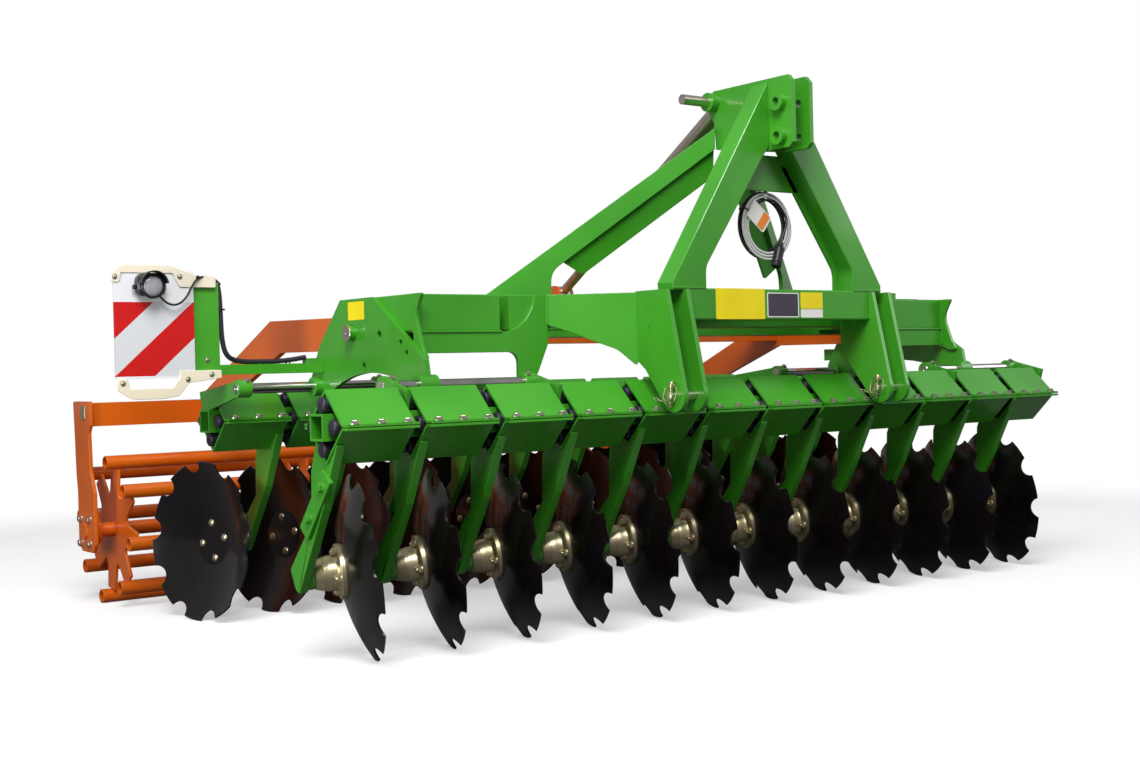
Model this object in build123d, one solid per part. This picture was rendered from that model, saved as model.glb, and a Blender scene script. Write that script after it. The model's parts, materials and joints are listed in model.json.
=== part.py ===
from build123d import *
import os
from math import cos, hypot, radians, sin, sqrt

os.makedirs("parts", exist_ok=True)

# Mounted disc harrow: two rows of rubber-sprung notched discs and a cage roller.
# Millimetres. X to the right seen from the tractor, Y back from the tractor, Z up from the ground.
# Lengths back are first counted from the front row's clamp bolts, heights from the ground.

# Clamps that hang each disc arm on a square beam
clamps_per_row = 12
clamp_pitch = 250.0
clamp_width = 215.0
clamp_wall = 7.0
clamp_flange = 26.0
clamp_split = 2.0
beam_side = 70.0
beam_wall = 6.0
beam_overhang = 26.0
cord_radius = 21.5
cord_length = 233.0
cord_play = 0.3
front_row_shift = -45.0
rear_row_shift = 65.0
front_beam_y = 97.0
rear_beam_y = 1035.0
beam_z = 643.0

# Disc and its hub
disc_radius = 255.0
disc_plate = 5.0
disc_flat_radius = 80.0
disc_sphere_radius = 548.0
notch_count = 10
notch_radius = 38.0
notch_centre_radius = 262.0
rim_bevel = 4.0
hub_flange_radius = 75.0
hub_flange = 12.0
hub_large_radius = 47.0
hub_small_radius = 38.0
hub_length = 76.0
axle_radius = 20.0
axle_length = 52.0
running_play = 0.05
hub_end_gap = 1.5
stub_radius = 36.0

# Disc arm, a plate at the end of each clamp
arm_plate = 15.0
arm_inset = 5.0
arm_foot_radius = 42.0
arm_half_width = 30.0
stub_proud = 4.0

# Slide rods that let a row be set sideways
rod_radius = 16.0
rod_clamps = 2
rod_z = 742.0
front_rod_y = 200.0
rear_rod_y = 809.0
bracket_plate = 12.0
bracket_boss_radius = 27.0
bracket_boss_length = 30.0
sleeve_radius = 29.0
sleeve_length = 60.0

# Main frame
side_plate_x = 1158.0
side_plate = 15.0
frame_top = 1000.0
rear_tube_y = 567.0
rear_tube_depth = 150.0
rear_tube_height = 120.0
arm_side_gap = 8.0
front_tube_y = 147.0
front_tube_depth = 110.0
front_tube_height = 106.0
front_tube_end = 824.0
tube_wall = 8.0
long_tube_x = 764.0
long_tube_width = 100.0
end_box_inner = 847.0
front_plate_y = 270.0
front_plate = 12.0
front_plate_inner = 681.0

# Three-point hitch
hitch_pin_radius = 14.0
hitch_spread = 884.0
hitch_gap = 63.0
hitch_plate = 15.0
hitch_pin_y = -72.0
hitch_pin_z = 691.0
hitch_eye_radius = 48.0
crossbar_y = -38.0
crossbar_depth = 60.0
crossbar_low = 913.0
crossbar_high = 1007.0
leg_depth = 70.0
leg_low_outer = 453.0
leg_low_inner = 318.0
cheek_gap = 60.0
cheek_plate = 15.0
cheek_top = 1655.0
cheek_low = 1450.0
cheek_front = -140.0
top_hole_radius = 12.75
top_hole_y = -90.0
top_hole_z = (1472.0, 1576.0)
top_boss_radius = 28.0
top_boss = 22.0
strut_pin_radius = 16.0
strut_pin_y = 207.0
strut_pin_z = 1618.0

# Depth strut from the mast to the roller frame
strut_eye_y = 1104.0
strut_eye_z = 1052.0
strut_tube_radius = 27.0
strut_rod_radius = 17.0
strut_eye_play = 3.0

# Roller and its frame
roller_pivot_y = 586.0
roller_pivot_z = 898.0
roller_pivot_radius = 22.0
roller_y = 1801.0
roller_circle = 236.0
roller_tube_radius = 24.0
roller_tubes = 8
roller_first_angle = 98.0
roller_ground_gap = 0.5
roller_end_gap = 15.0
spider_inset = 40.0
spider_plates = 5
roller_shaft_radius = 25.0
roller_arm_x = 1132.0
roller_arm_plate = 20.0
roller_bar = 80.0
roller_bar_z = 660.0
roller_bar_y = 1790.0
roller_bar_half = 1540.0
middle_bar_y = 1150.0
middle_bar_z = 912.0
end_plate = 12.0
bearing_side = 130.0
bearing_depth = 35.0

# Warning board and its carriers
carrier_y = 870.0
carrier_z = 800.0
post_x = 1516.0
post_width = 92.0
post_low = 786.0
post_high = 1060.0
board_width = 240.0
board_low = 778.0
board_high = 1090.0
board_plate = 8.0
board_overlap = 10.0
carrier_reach = 184.0
carrier_lug = 12.0

board_left = -post_x - post_width / 2 - board_width + board_overlap
carrier_end = post_x + carrier_reach
tube_angles = [roller_first_angle + index * 360 / roller_tubes for index in range(roller_tubes)]
roller_half = roller_bar_half - bearing_depth - roller_end_gap
lowest_tube = roller_circle * max(-sin(radians(angle)) for angle in tube_angles)
rearmost_tube = roller_circle * max(cos(radians(angle)) for angle in tube_angles)
roller_z = roller_ground_gap + roller_tube_radius + lowest_tube

# Origin of the finished model: the middle of its footprint, on the ground
origin_x = (board_left + carrier_end) / 2
origin_y = (cheek_front + roller_y + rearmost_tube + roller_tube_radius) / 2

finished = {}


def keep(name, *solids):
    """Collects the solids of one named piece."""
    finished.setdefault(name, []).extend(solids)


def block(x, y, z):
    """Box between the pairs of limits x, y and z."""
    size = [high - low for low, high in (x, y, z)]
    middle = [(high + low) / 2 for low, high in (x, y, z)]
    return Pos(*middle) * Box(*size)


def rod_x(radius, x, y, z):
    """Round bar along X between the limits x."""
    return Pos((x[0] + x[1]) / 2, y, z) * Rot(0, 90, 0) * Cylinder(radius, x[1] - x[0])


def plate_x(outline, x, thickness):
    """Plate with an outline of (y, z) points, middle at x."""
    face = make_face(Polyline(*outline, close=True))
    return Pos(x - thickness / 2, 0, 0) * extrude(Plane.YZ * face, thickness)


def plate_y(outline, y, thickness):
    """Plate with an outline of (x, z) points, front face at y."""
    face = make_face(Polyline(*outline, close=True))
    return Pos(0, y + thickness, 0) * extrude(Plane.XZ * face, thickness)


def bar_y(radius, y, x, z):
    """Round bar along Y between the limits y."""
    return Pos(x, (y[0] + y[1]) / 2, z) * Rot(90, 0, 0) * Cylinder(radius, y[1] - y[0])


def box_tube_x(x, y, z, depth, height, wall):
    """Hollow box section along X, open at both ends."""
    outer = block(x, (y - depth / 2, y + depth / 2), (z - height / 2, z + height / 2))
    depth, height = depth - 2 * wall, height - 2 * wall
    return outer - block((x[0] - 1, x[1] + 1), (y - depth / 2, y + depth / 2), (z - height / 2, z + height / 2))


# Rows of discs: side is the way the hollow of the disc faces along X
front_row = dict(name="front", y=front_beam_y, shift=front_row_shift, side=1, turn=19.0, tilt=6.0,
                 hub=(16.0, 157.0))
rear_row = dict(name="rear", y=rear_beam_y, shift=rear_row_shift, side=-1, turn=13.0, tilt=3.5,
                hub=(-22.0, 196.0))


disc_dish = sqrt(disc_sphere_radius**2 - disc_flat_radius**2) - sqrt(disc_sphere_radius**2 - disc_radius**2)


def disc_direction(row):
    """Unit vector from the hub to the disc's hollow side."""
    turn, tilt = radians(row["turn"]), radians(row["tilt"])
    return Vector(row["side"] * cos(turn) * cos(tilt), -sin(turn) * cos(tilt), sin(tilt))


def clamp_places(row):
    """Middle of each clamp along X."""
    first = row["shift"] - clamp_pitch * (clamps_per_row - 1) / 2
    return [first + clamp_pitch * index for index in range(clamps_per_row)]


def hub_plane(row, clamp_x):
    """Plane of the hub's flange face, its normal to the hollow side, with the rim on the ground."""
    dx, dy = row["hub"]
    tilt = radians(row["tilt"])
    hub_z = disc_radius * cos(tilt) - disc_dish * sin(tilt)
    direction = disc_direction(row)
    level = Vector(-direction.Y, direction.X, 0).normalized()
    return Plane((clamp_x + dx, row["y"] + dy, hub_z), x_dir=level, z_dir=direction)


def make_disc():
    """Notched dished disc with its hub, flange face at the origin, hollow side to +Z."""
    def height(r, sphere):
        return sqrt(disc_sphere_radius**2 - disc_flat_radius**2) - sqrt(sphere**2 - r**2)
    low, high = disc_sphere_radius, disc_sphere_radius - disc_plate
    rim_in = disc_radius - rim_bevel
    middle = (disc_flat_radius + disc_radius) / 2
    rim_back = (disc_radius, height(disc_radius, low))
    rim_front = (rim_in, height(rim_in, high))
    outline = Polyline((disc_flat_radius, disc_plate), (0, disc_plate), (0, 0), (disc_flat_radius, 0))
    back = ThreePointArc((disc_flat_radius, 0), (middle, height(middle, low)), rim_back)
    rim = Line(rim_back, rim_front)
    front = ThreePointArc(rim_front, (middle, height(middle, high)), (disc_flat_radius, disc_plate))
    disc = revolve(Plane.XZ * make_face(outline + back + rim + front), Axis.Z)
    for index in range(notch_count):
        notch = Pos(notch_centre_radius, 0, disc_dish / 2) * Cylinder(notch_radius, 2 * disc_dish)
        disc -= Rot(0, 0, index * 360 / notch_count) * notch
    housing = Polyline((0, 0), (hub_flange_radius, 0), (hub_flange_radius, -hub_flange),
                       (hub_large_radius, -hub_flange), (hub_large_radius, -hub_length * 0.55),
                       (hub_small_radius, -hub_length), (0, -hub_length), close=True)
    hub = revolve(Plane.XZ * make_face(housing), Axis.Z)
    depth = axle_length + 3
    bore = Pos(0, 0, -hub_length + depth / 2 - 1) * Cylinder(axle_radius + running_play, depth + 2)
    return disc + (hub - bore)


def make_arm(row, clamp_x):
    """Plate from the clamp down to the axle, with the axle on the disc's axis."""
    plane = hub_plane(row, clamp_x)
    side = row["side"]
    arm_x = clamp_x - side * (clamp_width / 2 - arm_inset - arm_plate / 2)
    direction = disc_direction(row)
    start = plane.origin - direction * (hub_length + hub_end_gap)
    reach = (start.X - arm_x) / direction.X
    foot = start - direction * reach
    beam_y = row["y"]
    wall_middle = clamp_inner + clamp_wall / sqrt(2)
    front_top, rear_top = 52, 60
    lean = (foot.Y - beam_y) / (beam_z - foot.Z)
    front_knee = Vector(0, beam_y + 67 * lean, beam_z - 214)
    rear_knee = Vector(0, beam_y + 207 * lean, beam_z - 248)
    way = (foot - (front_knee + rear_knee) / 2)
    across = Vector(0, -way.Z, way.Y).normalized() * arm_half_width
    outline = [(beam_y - front_top, beam_z - wall_middle + front_top), (front_knee.Y, front_knee.Z),
               (foot.Y - across.Y, foot.Z - across.Z), (foot.Y + across.Y, foot.Z + across.Z),
               (rear_knee.Y, rear_knee.Z), (rear_knee.Y - 5, beam_z - 118),
               (beam_y + rear_top, beam_z - wall_middle + rear_top), (beam_y, beam_z - wall_middle)]
    plate = plate_x(outline, arm_x, arm_plate)
    plate += rod_x(arm_foot_radius, (arm_x - arm_plate / 2, arm_x + arm_plate / 2), foot.Y, foot.Z)
    stub_plane = Plane(start, z_dir=-direction)
    through = reach + stub_radius
    stub = stub_plane * Pos(0, 0, through / 2) * Cylinder(stub_radius, through)
    proud = side * (arm_plate / 2 + stub_proud)
    beyond = sorted((arm_x - proud, arm_x - proud - side * 2 * stub_radius))
    stub -= block(beyond, (foot.Y - 3 * stub_radius, foot.Y + 3 * stub_radius),
                  (foot.Z - 3 * stub_radius, foot.Z + 3 * stub_radius))
    axle_reach = axle_length + hub_end_gap
    axle = stub_plane * Pos(0, 0, -axle_reach / 2) * Cylinder(axle_radius, axle_reach)
    return plate + stub + axle


clamp_inner = beam_side / 2 + cord_radius * (1 + sqrt(2)) + cord_play * 2
clamp_outer = clamp_inner + clamp_wall * sqrt(2)


def clamp_shell(row, clamp_x, up):
    """Bent shell over (up = 1) or under (up = -1) the beam, with a flange on each side."""
    low = clamp_split / 2
    top = low + clamp_wall
    edge = clamp_outer + clamp_flange - clamp_wall * sqrt(2)
    points = [(-edge, low), (-edge, top), (-(clamp_outer - top), top), (0, clamp_outer), (clamp_outer - top, top),
              (edge, top), (edge, low), (clamp_inner - low, low), (0, clamp_inner), (-(clamp_inner - low), low)]
    outline = [(row["y"] + y, beam_z + up * z) for y, z in points]
    return plate_x(outline, clamp_x, clamp_width)


def build_row(row):
    """Beam, clamps, rubber cords, arms and discs of one row."""
    name = row["name"]
    places = clamp_places(row)
    ends = (places[0] - clamp_width / 2 - beam_overhang, places[-1] + clamp_width / 2 + beam_overhang)
    keep(name + "_beam", box_tube_x(ends, row["y"], beam_z, beam_side, beam_side, beam_wall))
    cord_offset = beam_side / 2 + cord_radius + cord_play
    blank = make_disc()
    for index, clamp_x in enumerate(places):
        keep(name + "_clamp_tops", clamp_shell(row, clamp_x, 1))
        keep(name + "_disc_arms", clamp_shell(row, clamp_x, -1) + make_arm(row, clamp_x))
        for dy, dz in ((0, 1), (0, -1), (1, 0), (-1, 0)):
            ends = (clamp_x - cord_length / 2, clamp_x + cord_length / 2)
            cord = rod_x(cord_radius, ends, row["y"] + dy * cord_offset, beam_z + dz * cord_offset)
            keep(name + "_rubber_cords", cord)
        turned = Rot(0, 0, index * 7 % 13 - 6) * blank
        keep(f"{name}_disc_{index + 1:02d}", hub_plane(row, clamp_x) * turned)


def slide_bracket(row, x, rod_y, inward):
    """Plate from the beam up to the end of a slide rod."""
    beam_y = row["y"]
    way = 1 if rod_y > beam_y else -1
    near = beam_y - way * beam_side / 2
    outline = [(beam_y - way * 20, beam_z + beam_side / 2), (beam_y + way * beam_side / 2, beam_z + beam_side / 2),
               (rod_y - way * 10, rod_z - bracket_boss_radius), (rod_y, rod_z + bracket_boss_radius),
               (rod_y - way * 25, rod_z + bracket_boss_radius - 8), (near, beam_z + beam_side / 2 + 55)]
    plate = plate_x(outline, x, bracket_plate)
    plate += rod_x(bracket_boss_radius, (x - bracket_plate / 2, x + bracket_plate / 2), rod_y, rod_z)
    boss = (x, x + inward * (bracket_plate / 2 + bracket_boss_length))
    return plate + rod_x(bracket_boss_radius, (min(boss), max(boss)), rod_y, rod_z)


def build_slides(row, rod_y, starts):
    """Slide rods of a row with a bracket at each end."""
    for start in starts:
        end = start + rod_clamps * clamp_pitch
        reach = rod_clamps * clamp_pitch / 2 - bracket_plate / 2
        middle = (start + end) / 2
        keep(row["name"] + "_slide_rods", rod_x(rod_radius, (middle - reach, middle + reach), rod_y, rod_z))
        for x, inward in ((start, 1), (end, -1)):
            bracket = slide_bracket(row, x, rod_y, inward)
            bracket -= rod_x(rod_radius, (middle - reach, middle + reach), rod_y, rod_z)
            keep(row["name"] + "_rod_brackets", bracket)


def build_side_plate(side):
    """Side plate with the arch, the sleeves of both rods and the roller's pivot pin."""
    x = side * side_plate_x
    outline = [(472, frame_top), (front_rod_y - 8, rod_z + 71), (front_rod_y - 24, rod_z - 10),
               (front_rod_y + 60, rod_z - 10), (front_rod_y + 90, rod_z + 15), (727, rod_z - 10),
               (850, rod_z - 10), (857, rod_z + 24), (802, 861), (662, frame_top)]
    plate = plate_x(outline, x, side_plate)
    plate -= rod_x(560, (x - 30, x + 30), 490, 780 - 560)
    for rod_y in (front_rod_y, rear_rod_y):
        plate += rod_x(sleeve_radius, (x - sleeve_length / 2, x + sleeve_length / 2), rod_y, rod_z)
    for rod_y in (front_rod_y, rear_rod_y):
        plate -= rod_x(rod_radius + running_play, (x - sleeve_length, x + sleeve_length), rod_y, rod_z)
    for y, z, radius in ((434, 890, 11), (316, 864, 8), (285, 834, 8), (527, 801, 10)):
        plate -= rod_x(radius, (x - 20, x + 20), y, z)
    pin_inner = roller_arm_x - roller_arm_plate / 2 - arm_side_gap - end_plate - 6
    pin_end = (x + side * (side_plate / 2 + 22), side * pin_inner)
    plate += rod_x(roller_pivot_radius, (min(pin_end), max(pin_end)), roller_pivot_y, roller_pivot_z)
    keep("frame_side_plates", plate)


def build_frame():
    """Welded main frame."""
    reach = side_plate_x - side_plate / 2
    tube_end = roller_arm_x - roller_arm_plate / 2 - arm_side_gap
    rear_tube_z = frame_top - rear_tube_height / 2
    rear_tube = box_tube_x((-tube_end, tube_end), rear_tube_y, rear_tube_z, rear_tube_depth,
                           rear_tube_height, tube_wall)
    for side in (-1, 1):
        rear_tube += block(sorted((side * (tube_end - end_plate), side * tube_end)),
                           (rear_tube_y - rear_tube_depth / 2, rear_tube_y + rear_tube_depth / 2),
                           (roller_pivot_z - 50, frame_top))
    rear_tube -= rod_x(roller_pivot_radius + running_play, (-1200, 1200), roller_pivot_y, roller_pivot_z)
    keep("frame_rear_tube", rear_tube)
    front_tube_z = frame_top - front_tube_height / 2
    keep("frame_front_tube", box_tube_x((-front_tube_end, front_tube_end), front_tube_y, front_tube_z,
                                        front_tube_depth, front_tube_height, tube_wall))
    front_end = front_tube_y + front_tube_depth / 2
    rear_end = rear_tube_y - rear_tube_depth / 2
    box_front = front_plate_y + front_plate
    for side in (-1, 1):
        build_side_plate(side)
        x = sorted((side * (long_tube_x - long_tube_width / 2), side * (long_tube_x + long_tube_width / 2)))
        for y in ((front_end, front_plate_y), (box_front, rear_end)):
            keep("frame_short_tubes", block(x, y, (frame_top - front_tube_height, frame_top)))
        x = sorted((side * end_box_inner, side * reach))
        keep("frame_short_tubes", block(x, (box_front, rear_end), (frame_top - front_tube_height, frame_top)))
        outline = [(side * reach, 891), (side * end_box_inner, 891), (side * 770, 925), (side * 728, frame_top),
                   (side * front_plate_inner, frame_top), (side * 690, 855), (side * 716, 778),
                   (side * 790, 770), (side * 800, 812), (side * 840, 830), (side * reach, 833)]
        keep("frame_front_plates", plate_y(outline, front_plate_y, front_plate))


def build_hitch():
    """Lower hitch plates with pins, crossbar, mast legs and cheeks."""
    half_gap = (hitch_gap + hitch_plate) / 2
    for side in (-1, 1):
        for offset in (-half_gap, half_gap):
            x = side * hitch_spread / 2 + offset
            tube_front = front_tube_y - front_tube_depth / 2
            outline = [(hitch_pin_y - hitch_eye_radius, hitch_pin_z), (-48, 1003), (tube_front, 1003),
                       (tube_front, 800), (52, 770), (hitch_pin_y + 42, hitch_pin_z - 24)]
            plate = plate_x(outline, x, hitch_plate)
            plate += rod_x(hitch_eye_radius, (x - hitch_plate / 2, x + hitch_plate / 2), hitch_pin_y, hitch_pin_z)
            plate -= rod_x(hitch_pin_radius + 0.3, (x - 20, x + 20), hitch_pin_y, hitch_pin_z)
            keep("hitch_plates", plate)
        pin_half = half_gap + hitch_plate / 2 + 20
        ends = (side * hitch_spread / 2 - pin_half, side * hitch_spread / 2 + pin_half)
        keep("hitch_pins", rod_x(hitch_pin_radius, ends, hitch_pin_y, hitch_pin_z))
    inner = hitch_spread / 2 - half_gap - hitch_plate / 2
    mast = block((-inner, inner), (crossbar_y, crossbar_y + crossbar_depth), (crossbar_low, crossbar_high))
    cheek_outer = cheek_gap / 2 + cheek_plate
    for side in (-1, 1):
        outline = [(side * leg_low_outer, crossbar_high + 16), (side * 75, 1600), (side * cheek_outer, 1645),
                   (side * cheek_outer, 1448), (side * 84, 1398), (side * leg_low_inner, 1071),
                   (side * leg_low_inner, crossbar_high), (side * (leg_low_outer - 3), crossbar_high)]
        mast += plate_y(outline, crossbar_y, leg_depth)
    web_top = cheek_low - 20
    web = [(-165, 1318), (165, 1318), (110, 1398), (cheek_outer + 20, web_top), (-cheek_outer - 20, web_top),
           (-110, 1398)]
    mast += plate_y(web, crossbar_y + leg_depth - 12, 12)
    keep("mast_frame", mast)
    for side in (-1, 1):
        x = side * (cheek_gap + cheek_plate) / 2
        outline = [(cheek_front + 16, cheek_low - 15), (cheek_front, cheek_low), (cheek_front, cheek_top - 20),
                   (cheek_front + 18, cheek_top), (strut_pin_y, cheek_top), (strut_pin_y + 43, strut_pin_z),
                   (strut_pin_y, strut_pin_z - 66), (strut_pin_y - 7, cheek_low + 17), (-38, cheek_low - 15)]
        cheek = plate_x(outline, x, cheek_plate)
        outer = x + side * cheek_plate / 2
        for z in top_hole_z:
            boss = sorted((x, outer + side * top_boss))
            cheek += rod_x(top_boss_radius, boss, top_hole_y, z)
            cheek -= rod_x(top_hole_radius, (x - 60, x + 60), top_hole_y, z)
        boss = sorted((x, outer + side * 30))
        cheek += rod_x(30, boss, strut_pin_y, strut_pin_z)
        cheek -= rod_x(strut_pin_radius + running_play, (x - 60, x + 60), strut_pin_y, strut_pin_z)
        keep("mast_cheeks", cheek)
    keep("hitch_pins", rod_x(strut_pin_radius, (-181, 100), strut_pin_y, strut_pin_z))


def build_braces():
    """Flat braces from the cheeks back and out to the rear tube."""
    start = Vector(cheek_gap / 2 + cheek_plate + 8, 200, 0)
    end = Vector(704, 606, 0)
    run = end - start
    length = hypot(run.X, run.Y)
    outline = [(0, 1534), (length, frame_top), (535, frame_top), (535, 1085), (0, 1467)]
    for side in (-1, 1):
        way = Vector(side * run.X, run.Y, 0).normalized()
        plane = Plane((side * start.X, start.Y, 0), x_dir=way, z_dir=way.cross(Vector(0, 0, 1)))
        face = plane * make_face(Polyline(*outline, close=True))
        brace = extrude(face, 15)
        keep("mast_braces", brace)


def build_strut():
    """Depth strut: tube at the mast, rod at the roller frame."""
    top = Vector(0, strut_pin_y, strut_pin_z)
    low = Vector(0, strut_eye_y, strut_eye_z)
    way = (low - top).normalized()
    length = (low - top).length
    plane = Plane(top, x_dir=(1, 0, 0), z_dir=way)
    eye = rod_x(32, (-25, 25), top.Y, top.Z)
    tube_length = length * 0.66
    tube = plane * Pos(0, 0, 25 + tube_length / 2) * Cylinder(strut_tube_radius, tube_length)
    tube = tube - plane * Pos(0, 0, 40 + tube_length / 2) * Cylinder(strut_rod_radius + running_play, tube_length)
    tube = tube + eye - rod_x(strut_pin_radius + running_play, (-60, 60), top.Y, top.Z)
    keep("strut_tube", tube)
    rod_from = length * 0.45
    rod = plane * Pos(0, 0, (rod_from + length) / 2) * Cylinder(strut_rod_radius, length - rod_from)
    rod += rod_x(30, (-20, 20), low.Y, low.Z)
    rod -= rod_x(strut_pin_radius + strut_eye_play, (-60, 60), low.Y, low.Z)
    keep("strut_rod", rod)


def build_roller_frame():
    """Arms, bars and end plates that carry the cage roller."""
    half = roller_bar / 2
    bar = box_tube_x((-roller_bar_half, roller_bar_half), roller_bar_y, roller_bar_z, roller_bar, roller_bar, 6)
    keep("roller_rear_bar", bar)
    reach = roller_arm_x - roller_arm_plate / 2
    bar = box_tube_x((-reach, reach), middle_bar_y, middle_bar_z, roller_bar, roller_bar, 6)
    ear_low = middle_bar_z + half
    for side in (-1, 1):
        ear = plate_x([(1104 - 40, strut_eye_z), (1104 + 30, strut_eye_z), (1186, ear_low), (1112, ear_low)],
                      side * 28, 12)
        ear += rod_x(32, (side * 28 - 6, side * 28 + 6), strut_eye_y, strut_eye_z)
        bar += ear
    bar += rod_x(strut_pin_radius, (-34, 34), strut_eye_y, strut_eye_z)
    keep("roller_middle_bar", bar)
    for side in (-1, 1):
        x = side * roller_arm_x
        outline = [(roller_pivot_y - 60, roller_pivot_z + 20), (roller_pivot_y, roller_pivot_z + 50),
                   (middle_bar_y + 30, middle_bar_z + 45), (roller_bar_y - half, roller_bar_z + 50),
                   (roller_bar_y - half, roller_bar_z - 50), (middle_bar_y - 40, middle_bar_z - 60),
                   (roller_pivot_y, roller_pivot_z - 50), (roller_pivot_y - 130, roller_pivot_z - 50)]
        arm = plate_x(outline, x, roller_arm_plate)
        arm -= rod_x(roller_pivot_radius + running_play, (x - 30, x + 30), roller_pivot_y, roller_pivot_z)
        keep("roller_arms", arm)
        x = side * (roller_bar_half + end_plate / 2)
        outline = [(roller_bar_y - 95, roller_bar_z + 42), (roller_bar_y + 85, roller_bar_z + 42),
                   (roller_bar_y + 100, 200), (roller_bar_y + 70, 165), (roller_bar_y - 70, 165), (roller_bar_y - 100, 200)]
        plate = plate_x(outline, x, end_plate)
        inner = x - side * end_plate / 2
        bearing = sorted((inner, inner - side * bearing_depth))
        plate += block(bearing, (roller_y - bearing_side / 2, roller_y + bearing_side / 2),
                       (roller_z - bearing_side / 2, roller_z + bearing_side / 2))
        plate -= rod_x(roller_shaft_radius + running_play, sorted((x - 60, x + 60)), roller_y, roller_z)
        keep("roller_end_plates", plate)


def build_roller():
    """Cage of tubes on spider plates and a shaft."""
    shaft_half = roller_bar_half + end_plate
    roller = rod_x(roller_shaft_radius, (-shaft_half, shaft_half), roller_y, roller_z)
    for angle in tube_angles:
        y = roller_y + roller_circle * cos(radians(angle))
        z = roller_z + roller_circle * sin(radians(angle))
        roller += rod_x(roller_tube_radius, (-roller_half, roller_half), y, z)
    spider_reach = roller_half - spider_inset
    for index in range(spider_plates):
        x = spider_reach * (2 * index / (spider_plates - 1) - 1)
        roller += rod_x(roller_circle - 10, (x - 5, x + 5), roller_y, roller_z)
    keep("cage_roller", roller)


def build_board():
    """Carriers on both sides and the warning board on the left one."""
    for side in (-1, 1):
        inner = side * (side_plate_x + side_plate / 2)
        x = sorted((inner, side * (post_x + post_width / 2)))
        carrier = block(x, (carrier_y - 20, carrier_y + 20), (carrier_z - 15, carrier_z + 15))
        lug = sorted((inner, inner + side * carrier_lug))
        carrier += block(lug, (carrier_y - 100, carrier_y + 20), (carrier_z - 15, carrier_z + 30))
        x = sorted((side * (post_x - post_width / 2), side * (post_x + post_width / 2)))
        carrier += block(x, (carrier_y - 20, carrier_y - 8), (post_low, post_high))
        x = sorted((side * (post_x + post_width / 2), side * carrier_end))
        carrier += block(x, (carrier_y - 20, carrier_y - 12), (884, 1036))
        keep("board_carriers", carrier)
    front = carrier_y - 20 - board_plate
    x = (board_left, board_left + board_width)
    keep("warning_board", block(x, (front, front + board_plate), (board_low, board_high)))
    keep("board_lamp", bar_y(36, (front - 45, front), -1662, 1055))


build_row(front_row)
build_row(rear_row)
first = [clamp_places(row)[0] for row in (front_row, rear_row)]
half = clamp_pitch / 2
build_slides(front_row, front_rod_y, (first[0] + half, first[0] + 9.5 * clamp_pitch))
build_slides(rear_row, rear_rod_y, (first[1] - half, first[1] + 8.5 * clamp_pitch))
build_frame()
build_hitch()
build_braces()
build_strut()
build_roller_frame()
build_roller()
build_board()

for name, solids in finished.items():
    shape = solids[0] if len(solids) == 1 else Compound(children=solids)
    export_step(Pos(-origin_x, -origin_y, 0) * shape, f"parts/{name}.step")
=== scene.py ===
import json
from types import SimpleNamespace

import bmesh
import bpy
import numpy as np
from mathutils import Matrix, Vector


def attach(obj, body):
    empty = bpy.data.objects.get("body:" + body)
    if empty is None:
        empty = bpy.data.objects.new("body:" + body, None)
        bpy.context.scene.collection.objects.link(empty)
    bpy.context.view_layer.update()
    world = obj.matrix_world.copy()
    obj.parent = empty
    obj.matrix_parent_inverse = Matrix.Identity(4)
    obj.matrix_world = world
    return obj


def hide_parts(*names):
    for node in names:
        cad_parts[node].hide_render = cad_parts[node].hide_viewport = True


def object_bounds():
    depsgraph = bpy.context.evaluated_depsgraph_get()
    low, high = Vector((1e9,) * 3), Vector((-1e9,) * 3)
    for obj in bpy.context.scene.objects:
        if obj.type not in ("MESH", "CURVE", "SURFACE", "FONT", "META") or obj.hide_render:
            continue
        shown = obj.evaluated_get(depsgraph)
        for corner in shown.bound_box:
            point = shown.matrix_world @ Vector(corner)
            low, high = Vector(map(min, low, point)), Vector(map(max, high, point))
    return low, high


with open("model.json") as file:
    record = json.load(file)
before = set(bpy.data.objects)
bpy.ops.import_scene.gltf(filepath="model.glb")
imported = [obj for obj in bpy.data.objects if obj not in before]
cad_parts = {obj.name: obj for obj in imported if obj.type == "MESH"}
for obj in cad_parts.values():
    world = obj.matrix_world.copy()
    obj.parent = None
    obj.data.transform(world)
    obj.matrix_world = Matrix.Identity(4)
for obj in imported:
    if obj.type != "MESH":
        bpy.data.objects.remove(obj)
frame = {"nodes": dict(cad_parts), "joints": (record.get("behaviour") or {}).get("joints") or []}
cadLow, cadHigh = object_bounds()
joints = {joint["name"]: joint for joint in frame["joints"]}
print("frame loaded:", len(frame["nodes"]), "nodes")


# Helpers for sizes, colours and shader nodes

def named(sizes):
    # a piece's dictionary with its sizes readable by name
    return SimpleNamespace(**sizes)


def linear(code):
    # sRGB hex to linear colour
    rgb = np.array([int(code[i:i + 2], 16) for i in (1, 3, 5)]) / 255
    return [*np.where(rgb <= 0.04045, rgb / 12.92, ((rgb + 0.055) / 1.055) ** 2.4), 1.0]


def addNode(tree, kind, sockets=None, stops=(), interpolation="LINEAR", **settings):
    # one shader node; a socket takes a number, a colour or another node's output, and a colour ramp has
    # stops of (place, hex colour)
    made = tree.nodes.new("ShaderNode" + kind)
    for name, value in settings.items():
        setattr(made, name, value)
    for name, value in (sockets or {}).items():
        if isinstance(value, bpy.types.NodeSocket):
            tree.links.new(value, made.inputs[name])
        else:
            made.inputs[name].default_value = value
    if stops:
        elements = made.color_ramp.elements
        made.color_ramp.interpolation = interpolation
        while len(elements) < len(stops):
            elements.new(0.5)
        for element, (place, code) in zip(elements, stops):
            element.position = place
            element.color = linear(code)
    return made


def startMaterial(name):
    material = bpy.data.materials.new(name)
    material.use_nodes = True
    material.node_tree.nodes.clear()
    return material, material.node_tree


# Helpers for surfaces: each is (points in millimetres, list of faces)

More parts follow.
